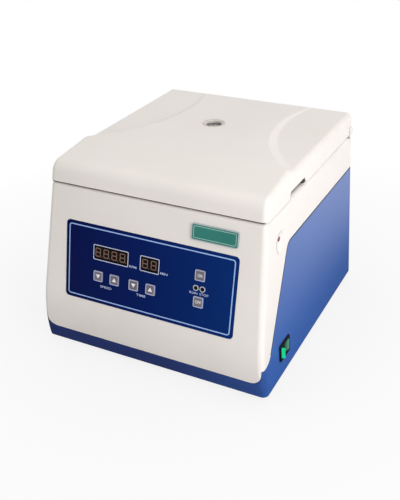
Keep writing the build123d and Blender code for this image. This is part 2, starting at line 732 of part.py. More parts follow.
def lid_liner():
    """Flat inner panel that closes the lid from below."""
    outline = lid_block(LID_WALL + CLEARANCE, LINER_Z, LINER_TOP)
    for side in (-1, 1):
        x0 = side * (HINGE_EAR_X - 18)
        x1 = side * WIDTH / 2
        outline -= box(min(x0, x1), max(x0, x1), HINGE_FOOT_Y - 14, Y_REAR, LINER_Z - 1, LINER_TOP + 1)
    outline -= rod(PORT_TUBE_RADIUS + 0.2, LINER_Z - 1, LINER_TOP + 1, PORT_X, PORT_Y)
    low = NOTCH_LENGTH / 2 + NOTCH_FLARE + 3
    edge = lid_half_width(LID_Z) - NOTCH_DEPTH - 2 - CLEARANCE
    outline -= box(edge, WIDTH / 2, NOTCH_Y - low, NOTCH_Y + low, LINER_Z - 1, LINER_TOP + 1)
    for x, y in LINER_BOSSES:
        outline -= rod(SCREW_RADIUS, LINER_Z - 1, LINER_TOP + 1, x, y)
    for x, y in striker_screw_places():
        outline -= rod(SCREW_RADIUS, LINER_Z - 1, LINER_TOP + 1, x, y)
    return outline


def liner_screws():
    """Screws that hold the liner to the lid's bosses."""
    screws = []
    for x, y in LINER_BOSSES:
        shank = rod(SCREW_RADIUS, LINER_Z - 0.5, LINER_TOP + 7, x, y)
        screws.append(shank + rod(SCREW_HEAD_RADIUS, LINER_Z - 1.5, LINER_Z, x, y))
    return screws


def sight_port_ring():
    """Flanged ring that lines the sight port, with a stepped rim."""
    top = port_height() - PORT_SEAT + PORT_FLANGE
    seat = port_height() - PORT_SEAT
    ring = rod(PORT_RADIUS, seat, top, PORT_X, PORT_Y)
    ring += rod(PORT_TUBE_RADIUS, LINER_Z, seat + 0.1, PORT_X, PORT_Y)
    ring -= rod(PORT_GLASS_RADIUS, LINER_Z - 1, top + 1, PORT_X, PORT_Y)
    step = PORT_GLASS_RADIUS + 1.5
    ring -= rod(step, port_glass_top() - 2, top + 1, PORT_X, PORT_Y)
    slope = PORT_FLANGE - 0.5
    return ring - Pos(PORT_X, PORT_Y, top - slope / 2) * Cone(step, PORT_RADIUS - 1.2, slope)


def port_glass_top():
    """Top of the sight port's window."""
    return port_height() - 3.0


def sight_port_window():
    """Clear disc that rests on the ring's step."""
    top = port_glass_top()
    return rod(PORT_GLASS_RADIUS + 1.4, top - 2, top, PORT_X, PORT_Y)


STRIKER_X = LATCH_X - 8.0
PIVOT_Z = HOUSING_Z + LATCH_PIVOT_HEIGHT
STRIKER_BAR = 2.5
STRIKER_WINDOW = 6.0


def striker_screw_places():
    """Screws through the striker's flange."""
    return [(STRIKER_X + 7, RELEASE_Y - 3.5), (STRIKER_X + 7, RELEASE_Y + 3.5)]


def lid_striker():
    """Steel loop under the lid that the latch hook catches."""
    x0 = STRIKER_X - STRIKER_THICKNESS / 2
    x1 = STRIKER_X + STRIKER_THICKNESS / 2
    y0 = RELEASE_Y - STRIKER_WIDTH / 2
    y1 = RELEASE_Y + STRIKER_WIDTH / 2
    bottom = PIVOT_Z + HOOK_TOP - HOOK_NOSE_DEPTH - 0.5 - STRIKER_BAR
    sill = bottom + STRIKER_BAR
    striker = box(x0, x1, y0, y1, bottom, LINER_Z)
    striker += box(x0, x1 + 11, y0, y1, LINER_Z - 1.6, LINER_Z)
    striker -= box(x0 - 1, x1 + 1, y0 + 2.5, y1 - 2.5, sill, sill + STRIKER_WINDOW)
    for x, y in striker_screw_places():
        striker -= rod(SCREW_RADIUS, LINER_Z - 3, LINER_Z + 1, x, y)
    return striker


def striker_screws():
    """Screws from the striker's flange up into the liner."""
    screws = []
    for x, y in striker_screw_places():
        shank = rod(SCREW_RADIUS, LINER_Z - 2, LINER_TOP, x, y)
        screws.append(shank + rod(SCREW_HEAD_RADIUS - 0.6, LINER_Z - 3.0, LINER_Z - 1.6, x, y))
    return screws


def latch_hook():
    """Steel hook that turns on its pin when the release button is pressed."""
    half = LATCH_BAR / 2
    outline = Polyline(
        (LATCH_X - half, 0, PIVOT_Z - HOOK_FOOT),
        (LATCH_X + half, 0, PIVOT_Z - HOOK_FOOT),
        (LATCH_X + half, 0, PIVOT_Z + HOOK_TOP),
        (LATCH_X - half, 0, PIVOT_Z + HOOK_TOP),
        (STRIKER_X - 3, 0, PIVOT_Z + HOOK_TOP - 1.5),
        (STRIKER_X - 3, 0, PIVOT_Z + HOOK_TOP - HOOK_NOSE_DEPTH),
        (LATCH_X - half, 0, PIVOT_Z + HOOK_TOP - HOOK_NOSE_DEPTH),
        close=True,
    )
    hook = Pos(0, RELEASE_Y - LATCH_HOOK_THICKNESS / 2, 0) * extrude(
        make_face(outline), LATCH_HOOK_THICKNESS, dir=(0, 1, 0))
    bore = Pos(LATCH_X, RELEASE_Y, PIVOT_Z) * Rot(90, 0, 0) * Cylinder(LATCH_PIN_RADIUS + RUNNING_FIT, 20)
    return hook - bore


CHEEK_GAP = LATCH_HOOK_THICKNESS / 2 + CLEARANCE
CHEEK_THICKNESS = 1.5
SEAT_X = LATCH_X + LATCH_BAR / 2 + 2.5


def latch_screw_places():
    """Screws that hold the latch bracket up under the deck."""
    return [(LATCH_X + 12, RELEASE_Y - 12), (LATCH_X + 12, RELEASE_Y + 12)]


def latch_bracket():
    """Folded bracket under the deck with two cheeks and a plate that guides the button."""
    top = DECK_Z - DECK_THICKNESS
    outer_gap = CHEEK_GAP + CHEEK_THICKNESS
    low = PIVOT_Z - HOOK_FOOT - 2
    right = SEAT_X + 1.5
    bracket = None
    for side in (-1, 1):
        y0 = RELEASE_Y + side * CHEEK_GAP
        y1 = RELEASE_Y + side * outer_gap
        cheek = box(LATCH_X - 6, right, min(y0, y1), max(y0, y1), low, top)
        bracket = cheek if bracket is None else bracket + cheek
    bracket += box(SEAT_X, right, RELEASE_Y - outer_gap, RELEASE_Y + outer_gap, low, PIVOT_Z + 2)
    for side in (-1, 1):
        y0 = RELEASE_Y + side * CHEEK_GAP
        y1 = RELEASE_Y + side * 16
        bracket += box(LATCH_X + 6.5, LATCH_X + 17.5, min(y0, y1), max(y0, y1), top - 1.5, top)
    bracket -= Pos(LATCH_X, RELEASE_Y, PIVOT_Z) * Rot(90, 0, 0) * Cylinder(LATCH_PIN_RADIUS, 40)
    bracket -= peg(RELEASE_PLANE, 0, 0, BUTTON_RADIUS + 0.3, -60, 0)
    for x, y in latch_screw_places():
        bracket -= rod(SCREW_RADIUS, top - 3, top + 1, x, y)
    return bracket


def latch_pin():
    """Pin through both cheeks, on which the hook turns."""
    reach = CHEEK_GAP + CHEEK_THICKNESS
    length = 2 * reach + LATCH_SPRING_LENGTH
    middle = RELEASE_Y + LATCH_SPRING_LENGTH / 2
    return Pos(LATCH_X, middle, PIVOT_Z) * Rot(90, 0, 0) * Cylinder(LATCH_PIN_RADIUS, length)


def latch_screws():
    """Screws from the bracket's tabs up into the deck."""
    screws = []
    top = DECK_Z - DECK_THICKNESS
    for x, y in latch_screw_places():
        shank = rod(SCREW_RADIUS, top - 2, DECK_Z - 1.2, x, y)
        screws.append(shank + rod(SCREW_HEAD_RADIUS - 0.6, top - 3.2, top - 1.5, x, y))
    return screws


def release_reach():
    """Length of the release button's rod, to just short of the hook."""
    gap = RELEASE_PLANE.origin.X - (LATCH_X + LATCH_BAR / 2) - 0.3
    return gap / math.cos(math.radians(SIDE_DRAFT)) - 0.3


def release_button():
    """Red push pin with a collar behind the wall."""
    end = -release_reach()
    collar = -RELEASE_BOSS_DEPTH - 0.3
    button = peg(RELEASE_PLANE, 0, 0, BUTTON_RADIUS, end, -BUTTON_RECESS)
    tip = button.faces().sort_by(Axis.X)[-1]
    button = fillet(tip.edges(), 1.2)
    return button + peg(RELEASE_PLANE, 0, 0, COLLAR_RADIUS, collar - COLLAR_THICKNESS, collar)


def latch_spring():
    """Torsion spring on the pin's end that holds the hook closed, drawn as its sleeve."""
    y0 = RELEASE_Y + CHEEK_GAP + CHEEK_THICKNESS
    place = Pos(LATCH_X, y0 + LATCH_SPRING_LENGTH / 2, PIVOT_Z) * Rot(90, 0, 0)
    sleeve = Cylinder(LATCH_PIN_RADIUS + 1.5, LATCH_SPRING_LENGTH)
    return place * (sleeve - Cylinder(LATCH_PIN_RADIUS, LATCH_SPRING_LENGTH + 2))


def chamber_bowl():
    """Stainless bowl that hangs by its flange from the deck."""
    outer = BOWL_RADIUS + BOWL_WALL
    flange = BOWL_RADIUS + BOWL_FLANGE
    top = DECK_Z
    low = BOWL_FLOOR - BOWL_WALL
    points = [
        (BOWL_HOLE_RADIUS, low),
        (outer - BOWL_CORNER, low),
        (outer, low + BOWL_CORNER),
        (outer, top - BOWL_WALL),
        (flange, top - BOWL_WALL),
        (flange, top),
        (BOWL_RADIUS, top),
        (BOWL_RADIUS, BOWL_FLOOR + BOWL_CORNER - BOWL_WALL / 2),
        (BOWL_RADIUS - BOWL_CORNER + BOWL_WALL / 2, BOWL_FLOOR),
        (BOWL_HOLE_RADIUS, BOWL_FLOOR),
    ]
    return revolve_on_axis(points)


def chamber_gasket():
    """Rubber ring on the bowl's flange that the closed lid meets."""
    inner = BOWL_RADIUS + 1.0
    outer = inner + GASKET_WIDTH
    top = LINER_Z - CLEARANCE
    points = [
        (inner, DECK_Z),
        (outer, DECK_Z),
        (outer, DECK_Z + 2.2),
        (outer - 2.0, DECK_Z + 2.8),
        (inner + 3.0, top),
        (inner, top),
    ]
    return revolve_on_axis(points)


def shaft_boot():
    """Rubber boot that closes the bowl round the motor's neck."""
    inner = SHAFT_RADIUS + 4.0
    outer = BOWL_HOLE_RADIUS - 0.1
    points = [
        (inner, MOTOR_TOP),
        (outer - 6, MOTOR_TOP),
        (outer, BOWL_FLOOR - BOWL_WALL - 2),
        (outer, BOWL_FLOOR),
        (outer + 6, BOWL_FLOOR),
        (outer + 5, BOWL_FLOOR + 2),
        (inner + 4, BOWL_FLOOR + 2.5),
        (inner, BOWL_FLOOR + 5),
    ]
    return revolve_on_axis(points)


MOUNT_Z = PLATE_TOP + DAMPER_HEIGHT
CAP_Z = MOUNT_Z + MOUNT_THICKNESS
CAN_Z = CAP_Z + 4.0


def damper_places():
    """The rubber dampers stand on a circle round the motor."""
    return [(DAMPER_CIRCLE * math.cos(a), AXIS_Y + DAMPER_CIRCLE * math.sin(a))
            for a in (math.radians(45 + 90 * i) for i in range(4))]


def motor_dampers():
    """Four waisted rubber blocks between the base plate and the motor's mount."""
    blocks = []
    mid = (PLATE_TOP + MOUNT_Z) / 2
    for x, y in damper_places():
        block = rod(DAMPER_RADIUS, PLATE_TOP, MOUNT_Z, x, y)
        waist = Pos(x, y, mid) * Torus(DAMPER_RADIUS + 3, 5)
        blocks.append(block - waist)
    return Compound(children=blocks)


def motor_mount():
    """Steel disc that carries the motor on its dampers."""
    disc = rod(MOUNT_RADIUS, MOUNT_Z, CAP_Z, 0, AXIS_Y)
    for x, y in damper_places():
        disc -= rod(SCREW_RADIUS, MOUNT_Z - 1, CAP_Z + 1, x, y)
    return disc


def mount_screws():
    """Screws from the mount down into each damper."""
    return [rod(SCREW_HEAD_RADIUS, CAP_Z, CAP_Z + SCREW_HEAD_HEIGHT, x, y)
            + rod(SCREW_RADIUS, MOUNT_Z, CAP_Z + 0.5, x, y)
            for x, y in damper_places()]


def motor_end_cap():
    """Lower bell of the motor, with the seat of the lower bearing."""
    points = [
        (0.0, CAP_Z),
        (MOTOR_RADIUS, CAP_Z),
        (MOTOR_RADIUS, CAN_Z),
        (BEARING_RADIUS + 4, CAN_Z),
        (BEARING_RADIUS + 4, CAN_Z + BEARING_HEIGHT),
        (BEARING_RADIUS, CAN_Z + BEARING_HEIGHT),
        (BEARING_RADIUS, CAN_Z),
        (0.0, CAN_Z),
    ]
    return revolve_on_axis(points)


def motor_can():
    """Upper bell and can of the motor, with the seat of the upper bearing."""
    neck = SHAFT_BEARING_RADIUS + 3
    seat = MOTOR_TOP - MOTOR_WALL - BEARING_HEIGHT
    points = [
        (neck, MOTOR_TOP),
        (MOTOR_RADIUS - 4, MOTOR_TOP),
        (MOTOR_RADIUS, MOTOR_TOP - 4),
        (MOTOR_RADIUS, CAN_Z),
        (MOTOR_RADIUS - MOTOR_WALL, CAN_Z),
        (MOTOR_RADIUS - MOTOR_WALL, MOTOR_TOP - MOTOR_WALL),
        (BEARING_RADIUS + 4, MOTOR_TOP - MOTOR_WALL),
        (BEARING_RADIUS + 4, seat),
        (BEARING_RADIUS, seat),
        (BEARING_RADIUS, MOTOR_TOP - MOTOR_WALL),
        (neck, MOTOR_TOP - MOTOR_WALL),
    ]
    return revolve_on_axis(points)


STATOR_Z = (CAN_Z + 12.0, MOTOR_TOP - MOTOR_WALL - BEARING_HEIGHT - 4.0)


def motor_stator():
    """Laminated ring and windings inside the can."""
    outer = MOTOR_RADIUS - MOTOR_WALL
    inner = ARMATURE_RADIUS + AIR_GAP
    return tube(outer, inner, *STATOR_Z, 0, AXIS_Y)


def motor_armature():
    """Rotor core of the motor, pressed on the shaft."""
    return tube(ARMATURE_RADIUS, SHAFT_BEARING_RADIUS, STATOR_Z[0] + 1, STATOR_Z[1] - 1, 0, AXIS_Y)


def bearing(z0):
    """One ball bearing, drawn as a closed ring with a groove round its top face."""
    top = z0 + BEARING_HEIGHT
    ring = tube(BEARING_RADIUS, SHAFT_BEARING_RADIUS + RUNNING_FIT, z0, top, 0, AXIS_Y)
    groove = tube(BEARING_RADIUS - 2.5, SHAFT_BEARING_RADIUS + 2.5, top - 1, top + 1, 0, AXIS_Y)
    return ring - groove


def drive_shaft():
    """Stepped shaft from the lower bearing to the rotor's stud."""
    top = ROTOR_HUB_TOP
    points = [
        (0.0, CAN_Z + 0.5),
        (SHAFT_BEARING_RADIUS, CAN_Z + 0.5),
        (SHAFT_BEARING_RADIUS, MOTOR_TOP + 2),
        (SHAFT_RADIUS, MOTOR_TOP + 4),
        (SHAFT_RADIUS + 3, ROTOR_BASE - 5),
        (SHAFT_RADIUS + 3, ROTOR_BASE),
        (SHAFT_RADIUS, ROTOR_BASE),
        (SHAFT_RADIUS, top),
        (SHAFT_STUD_RADIUS, top),
        (SHAFT_STUD_RADIUS, top + 10),
        (0.0, top + 10),
    ]
    return revolve_on_axis(points)


def angle_rotor():
    """Aluminium fixed-angle rotor with six tube holes."""
    tilt = math.radians(ROTOR_TILT)
    reach = ROTOR_HOLE_RADIUS + ROTOR_WALL
    rim = (ROTOR_MOUTH_RADIUS + reach * math.cos(tilt), ROTOR_MOUTH_HEIGHT + reach * math.sin(tilt))
    inner = (ROTOR_MOUTH_RADIUS - reach * math.cos(tilt), ROTOR_MOUTH_HEIGHT - reach * math.sin(tilt))
    run = ROTOR_HOLE_DEPTH + 2
    shoulder = (rim[0] + run * math.sin(tilt), rim[1] - run * math.cos(tilt))
    bore = SHAFT_RADIUS + 0.02
    points = [
        (bore, ROTOR_BASE),
        (shoulder[0] - 6, ROTOR_BASE),
        (shoulder[0], ROTOR_BASE + 8),
        shoulder,
        rim,
        inner,
        (NUT_RADIUS + 4, inner[1] - 2),
        (NUT_RADIUS + 4, ROTOR_HUB_TOP),
        (bore, ROTOR_HUB_TOP),
    ]
    rotor = revolve_on_axis(points)
    for i in range(ROTOR_HOLES):
        place = Pos(0, AXIS_Y, 0) * Rot(0, 0, 360 / ROTOR_HOLES * i)
        mouth = Pos(ROTOR_MOUTH_RADIUS, 0, ROTOR_MOUTH_HEIGHT) * Rot(0, -ROTOR_TILT, 0)
        hole = Pos(0, 0, -ROTOR_HOLE_DEPTH / 2 + 10) * Cylinder(ROTOR_HOLE_RADIUS, ROTOR_HOLE_DEPTH + 20)
        rotor -= place * mouth * hole
    return rotor


def rotor_nut():
    """Knob that clamps the rotor on its shaft."""
    top = ROTOR_HUB_TOP + NUT_HEIGHT
    nut = rod(NUT_RADIUS, ROTOR_HUB_TOP, top, 0, AXIS_Y)
    nut = chamfer(nut.faces().sort_by(Axis.Z)[-1].edges(), 2.0)
    nut -= rod(SHAFT_STUD_RADIUS + 0.02, ROTOR_HUB_TOP - 1, ROTOR_HUB_TOP + 10.5, 0, AXIS_Y)
    for i in range(12):
        angle = 2 * math.pi * i / 12
        x = (NUT_RADIUS + 1.2) * math.cos(angle)
        y = AXIS_Y + (NUT_RADIUS + 1.2) * math.sin(angle)
        nut -= rod(2.6, ROTOR_HUB_TOP + 4, top + 1, x, y)
    return nut


def control_panel():
    """Thin navy overlay with its windows and key openings."""
    overlay = slab(PANEL_PLANE, 0, 0, PANEL_WIDTH, PANEL_HEIGHT, -PANEL_POCKET, PANEL_FACE, PANEL_CORNER)
    for cutter in panel_openings(CLEARANCE, -3, 3):
        overlay -= cutter
    return overlay


def display_frames():
    """Two raised frames that lap the displays and the overlay."""
    frames = []
    for x, width in DISPLAYS.values():
        grow = 2 * DISPLAY_FRAME_EDGE
        outer = slab(PANEL_PLANE, x, DISPLAY_V, width + grow, DISPLAY_HEIGHT + grow, PANEL_FACE,
                     PANEL_FACE + DISPLAY_FRAME_THICKNESS, 1.0)
        shrink = 2 * DISPLAY_FRAME_LAP
        inner = slab(PANEL_PLANE, x, DISPLAY_V, width - shrink, DISPLAY_HEIGHT - shrink, 0, 4)
        frames.append(outer - inner)
    return Compound(children=frames)


def display_module(x, width):
    """One seven-segment display block behind the overlay."""
    return slab(PANEL_PLANE, x, DISPLAY_V, width, DISPLAY_HEIGHT, -BOARD_DEPTH, PANEL_FACE)


def key(u, v):
    """One key cap with the flange that keeps it behind the wall."""
    top = PANEL_FACE + KEY_PROUD
    cap = slab(PANEL_PLANE, u, v, KEY_WIDTH, KEY_HEIGHT, -WALL - 1, top, KEY_CORNER)
    cap = fillet(cap.faces().sort_by(Axis(PANEL_PLANE.origin, PANEL_PLANE.z_dir))[-1].edges(), 0.4)
    flange = slab(PANEL_PLANE, u, v, KEY_WIDTH + 3, KEY_HEIGHT + 3, -WALL - 1.6, -WALL - CLEARANCE,
                  KEY_CORNER)
    stem_end = -BOARD_DEPTH + KEY_SWITCH_HEIGHT + KEY_TRAVEL + CLEARANCE
    stem = peg(PANEL_PLANE, u, v, 2.0, stem_end, -WALL - 1)
    return cap + flange + stem


def key_switches():
    """Tactile switches on the display board, under the keys."""
    top = -BOARD_DEPTH + KEY_SWITCH_HEIGHT
    return Compound(children=[slab(PANEL_PLANE, u, v, 6, 6, -BOARD_DEPTH, top) for u, v in KEYS.values()])


def indicator_lamps():
    """Two round lamps that stand on the display board."""
    lamps = []
    for x in LAMP_XS:
        lamp = peg(PANEL_PLANE, x, LAMP_V, LAMP_RADIUS, -BOARD_DEPTH, PANEL_FACE + 0.3)
        lamps.append(lamp)
    return Compound(children=lamps)


def indicator_rings():
    """Raised rings round the lamps."""
    rings = []
    for x in LAMP_XS:
        ring = peg(PANEL_PLANE, x, LAMP_V, LAMP_RING_RADIUS, PANEL_FACE, PANEL_FACE + LAMP_RING_THICKNESS)
        rings.append(ring - peg(PANEL_PLANE, x, LAMP_V, LAMP_RADIUS, 0, 3))
    return Compound(children=rings)


def display_board():
    """Circuit board behind the panel."""
    board = slab(PANEL_PLANE, 0, 0, PANEL_WIDTH - 18, PANEL_HEIGHT - 6, -BOARD_DEPTH - BOARD_THICKNESS,
                 -BOARD_DEPTH)
    for u, v in board_posts():
        board -= peg(PANEL_PLANE, u, v, 1.5, -BOARD_DEPTH - 3, -BOARD_DEPTH + 1)
    return board


def board_screws():
    """Screws that hold the display board to the posts."""
    back = -BOARD_DEPTH - BOARD_THICKNESS
    return Compound(children=[peg(PANEL_PLANE, u, v, 3.0, back - 1.8, back)
                              + peg(PANEL_PLANE, u, v, 1.5, back - 0.5, -BOARD_DEPTH)
                              for u, v in board_posts()])


def badge_plate():
    """Bare plate on the front, above the panel."""
    plate = slab(PANEL_PLANE, BADGE_X, BADGE_V, BADGE_WIDTH, BADGE_HEIGHT, 0, BADGE_THICKNESS, BADGE_CORNER)
    face = plate.faces().sort_by(Axis(PANEL_PLANE.origin, PANEL_PLANE.z_dir))[-1]
    return fillet(face.edges(), 0.5)


def switch_bezel():
    """Black body and bezel of the power switch."""
    bezel = slab(SWITCH_PLANE, 0, 0, SWITCH_LENGTH, SWITCH_WIDTH, 0, SWITCH_FLANGE, 1.5)
    face = bezel.faces().sort_by(Axis(SWITCH_PLANE.origin, SWITCH_PLANE.z_dir))[-1]
    bezel = fillet(face.edges(), 0.8)
    body = (SWITCH_LENGTH - SWITCH_LAP, SWITCH_WIDTH - SWITCH_LAP)
    bezel += slab(SWITCH_PLANE, 0, 0, *body, -SWITCH_BODY_DEPTH, 0.1)
    well = (ROCKER_LENGTH + 2 * CLEARANCE, ROCKER_WIDTH + 2 * CLEARANCE)
    floor = -ROCKER_PIVOT_DEPTH - ROCKER_KEEL - 2
    bezel -= slab(SWITCH_PLANE, 0, 0, *well, floor, SWITCH_FLANGE + 1)
    bezel -= SWITCH_PLANE * rocker_axle(1.5, 0.4)
    for side in (-1, 0, 1):
        bezel += slab(SWITCH_PLANE, side * 7, 0, 0.8, 6.3, -SWITCH_BODY_DEPTH - 9, -SWITCH_BODY_DEPTH + 0.5)
    return bezel


def rocker_axle(radius, extra):
    """Axle of the rocker, across the switch, in the switch's own plane."""
    length = SWITCH_WIDTH - SWITCH_LAP - 0.4 + extra
    return Pos(0, 0, -ROCKER_PIVOT_DEPTH) * Rot(90, 0, 0) * Cylinder(radius, length)


def power_rocker():
    """Green rocker with a ridge at each end, standing proud at its front end."""
    end = ROCKER_LENGTH / 2
    ridge = end - ROCKER_RIDGE_SET_BACK
    skirt = math.sqrt(end ** 2 - ROCKER_SKIRT ** 2)
    keel = ROCKER_KEEL_WIDTH / 2
    profile = Polyline(
        (-end, 0, 0),
        (-ridge, 0, ROCKER_RIDGE),
        (0, 0, ROCKER_VALLEY),
        (ridge, 0, ROCKER_RIDGE),
        (end, 0, 0),
        (skirt, 0, -ROCKER_SKIRT),
        (keel, 0, -ROCKER_KEEL),
        (-keel, 0, -ROCKER_KEEL),
        (-skirt, 0, -ROCKER_SKIRT),
        close=True,
    )
    rocker = extrude(make_face(profile), ROCKER_WIDTH / 2, both=True, dir=(0, 1, 0))
    rocker = Pos(0, 0, -ROCKER_PIVOT_DEPTH) * Rot(0, ROCKER_TILT, 0) * rocker
    return SWITCH_PLANE * (rocker + rocker_axle(1.5 - RUNNING_FIT, 0.0))


def mains_inlet():
    """Black mains socket in the rear wall, with its three pins in the cavity."""
    inlet = slab(REAR_PLANE, -INLET_X, 0, INLET_WIDTH, INLET_HEIGHT, -2, 0.5, 1.5)
    inlet += slab(REAR_PLANE, -INLET_X, 0, INLET_WIDTH - 4, INLET_HEIGHT - 5, -20, -1.5, 1.5)
    inlet -= slab(REAR_PLANE, -INLET_X, 0, INLET_WIDTH - 7, INLET_HEIGHT - 8.5, -16, 1, 2)
    return inlet


def inlet_pins():
    """Brass pins of the mains socket, through to their tabs."""
    pins = []
    for u, v in ((-7, -2), (0, 2), (7, -2)):
        pins.append(slab(REAR_PLANE, -INLET_X + u, v, 2, 5, -16, -3))
    return Compound(children=pins)


def fuse_holder():
    """Round fuse holder with a slotted cap."""
    holder = peg(REAR_PLANE, -FUSE_X, 0, FUSE_RADIUS, -2, 0.8)
    holder += peg(REAR_PLANE, -FUSE_X, 0, FUSE_RADIUS - 1.5, -24, -1.5)
    return holder - slab(REAR_PLANE, -FUSE_X, 0, 9, 1.4, -0.4, 2)


def base_plate():
    """Steel floor inside the housing's lower edge, with cooling slots."""
    plate = housing_block(WALL + CLEARANCE, HOUSING_Z, DECK_Z, 1.0)
    plate = plate & box(-WIDTH, WIDTH, -DEPTH, DEPTH, HOUSING_Z, PLATE_TOP)
    for row in range(4):
        for x in (-60, 60):
            slot = Pos(x, Y_REAR - 46 + row * 10, HOUSING_Z) * SlotOverall(60, 4)
            plate -= extrude(slot, PLATE_THICKNESS)
    for sx, sy in corner_signs():
        plate -= rod(SCREW_RADIUS, HOUSING_Z - 1, PLATE_TOP + 1, sx * BOSS_X, sy * BOSS_Y)
        plate -= rod(SCREW_RADIUS, HOUSING_Z - 1, PLATE_TOP + 1, sx * FOOT_X, sy * FOOT_Y)
    return plate


def plate_screws():
    """Screws from below through the plate into the housing's bosses."""
    screws = []
    for sx, sy in corner_signs():
        shank = rod(SCREW_RADIUS, HOUSING_Z - 0.5, PLATE_TOP + 12, sx * BOSS_X, sy * BOSS_Y)
        head = rod(SCREW_HEAD_RADIUS, HOUSING_Z - SCREW_HEAD_HEIGHT, HOUSING_Z, sx * BOSS_X, sy * BOSS_Y)
        screws.append(shank + head)
    return screws


def rubber_feet():
    """Four tapered rubber feet, each with a pocket for its screw."""
    feet = []
    for sx, sy in corner_signs():
        cone = Cone(FOOT_RADIUS - 2, FOOT_RADIUS, FOOT_HEIGHT)
        foot = Pos(sx * FOOT_X, sy * FOOT_Y, FOOT_HEIGHT / 2) * cone
        foot -= rod(SCREW_HEAD_RADIUS + 0.5, -1, 3.0, sx * FOOT_X, sy * FOOT_Y)
        foot -= rod(SCREW_RADIUS, 2.0, FOOT_HEIGHT + 1, sx * FOOT_X, sy * FOOT_Y)
        feet.append(foot)
    return Compound(children=feet)


def foot_screws():
    """Screws that hold the feet to the base plate."""
    screws = []
    for sx, sy in corner_signs():
        x, y = sx * FOOT_X, sy * FOOT_Y
        shank = rod(SCREW_RADIUS, 2.5, PLATE_TOP, x, y)
        screws.append(shank + rod(SCREW_HEAD_RADIUS, 1.0, 3.0, x, y))
    return screws


BOARD_X = (-118.0, -12.0)
BOARD_Y = (-128.0, -70.0)
DRIVE_BOARD_Z = PLATE_TOP + 8.0


def drive_board_places():
    """Corners where the drive board stands on its pillars."""
    inset = 5.0
    return [(x, y) for x in (BOARD_X[0] + inset, BOARD_X[1] - inset)
            for y in (BOARD_Y[0] + inset, BOARD_Y[1] - inset)]


def board_pillars():
    """Four pillars between the base plate and the drive board."""
    return Compound(children=[rod(3.0, PLATE_TOP, DRIVE_BOARD_Z, x, y) for x, y in drive_board_places()])


def drive_board():
    """Motor drive board, flat over the base plate."""
    return box(*BOARD_X, *BOARD_Y, DRIVE_BOARD_Z, DRIVE_BOARD_Z + BOARD_THICKNESS)


def drive_components():
    """Heat sink, capacitors and terminal block on the drive board."""
    top = DRIVE_BOARD_Z + BOARD_THICKNESS
    sink = box(-110, -70, -90, -76, top, top + 24)
    for i in range(4):
        sink -= box(-106 + i * 8, -102 + i * 8, -87, -75, top + 3, top + 25)
    capacitors = [rod(9, top, top + 28, x, -108) for x in (-100, -76)]
    terminals = box(-56, -20, -122, -112, top, top + 12)
    relay = box(-52, -24, -100, -84, top, top + 15)
    return Compound(children=[sink, *capacitors, terminals, relay])


def transformer():
    """Laminated core of the supply transformer, on the base plate."""
    core = box(8, 72, -132, -88, PLATE_TOP, PLATE_TOP + 48)
    core -= box(18, 30, -140, -80, PLATE_TOP + 10, PLATE_TOP + 38)
    core -= box(50, 62, -140, -80, PLATE_TOP + 10, PLATE_TOP + 38)
    return core


def transformer_coil():
    """Winding round the transformer's middle limb."""
    coil = box(18.3, 61.7, -139, -81, PLATE_TOP + 10.3, PLATE_TOP + 37.7)
    return coil - box(30, 50, -132, -88, PLATE_TOP + 9, PLATE_TOP + 39)


def lid_screws():
    """Screws of the liner and of the striker."""
    return Compound(children=[*liner_screws(), *striker_screws()])


def deck_screws():
    """Screws of the hinge brackets and of the latch bracket."""
    return Compound(children=[*hinge_screws(), *latch_screws()])


def base_screws():
    """Screws of the base plate, the feet and the motor's mount."""
    return Compound(children=[*plate_screws(), *foot_screws(), *mount_screws()])


def write(name, shape):
    """Write one sub-part under its name."""
    shape.label = name
    export_step(shape, os.path.join("parts", name + ".step"))
    print(name, len(shape.solids()), "solids", round(sum(s.volume for s in shape.solids())), "mm3")


def main():
    os.makedirs("parts", exist_ok=True)
    outer, inner = housing_shell()
    write("base_housing", base_housing(outer, inner))
    write("upper_housing", upper_housing(outer, inner))
    for name, (u, v) in KEYS.items():
        write(name, key(u, v))
    for name, (x, width) in DISPLAYS.items():
        write(name, display_module(x, width))
    write("lower_bearing", bearing(CAN_Z))
    write("upper_bearing", bearing(MOTOR_TOP - MOTOR_WALL - BEARING_HEIGHT))
    for maker in (
        lid_shell, lid_liner, lid_screws, sight_port_ring, sight_port_window,
        lid_striker, hinge_brackets, hinge_pins, deck_screws,
        latch_hook, latch_bracket, latch_pin, latch_spring, release_button,
        chamber_bowl, chamber_gasket, shaft_boot, motor_dampers, motor_mount,
        motor_end_cap, motor_can, motor_stator, motor_armature, drive_shaft,
        angle_rotor, rotor_nut, control_panel, display_frames, key_switches,
        indicator_lamps, indicator_rings, display_board, board_screws, badge_plate,
        switch_bezel, power_rocker, mains_inlet, inlet_pins, fuse_holder,
        base_plate, base_screws, rubber_feet, board_pillars,
        drive_board, drive_components, transformer, transformer_coil,
    ):
        write(maker.__name__, maker())


main()
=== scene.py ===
# %% [markdown]
# # A benchtop centrifuge
# The measured solids of the machine come in first, as a fixed frame in metres. Everything after
# this cell only dresses them: a camera, light, a finish for each piece, and the printing, digits
# and small fittings that are too thin or too soft to be worth a solid.

# %% Load the measured model
import math

import bmesh
import bpy
from mathutils import Matrix, Vector


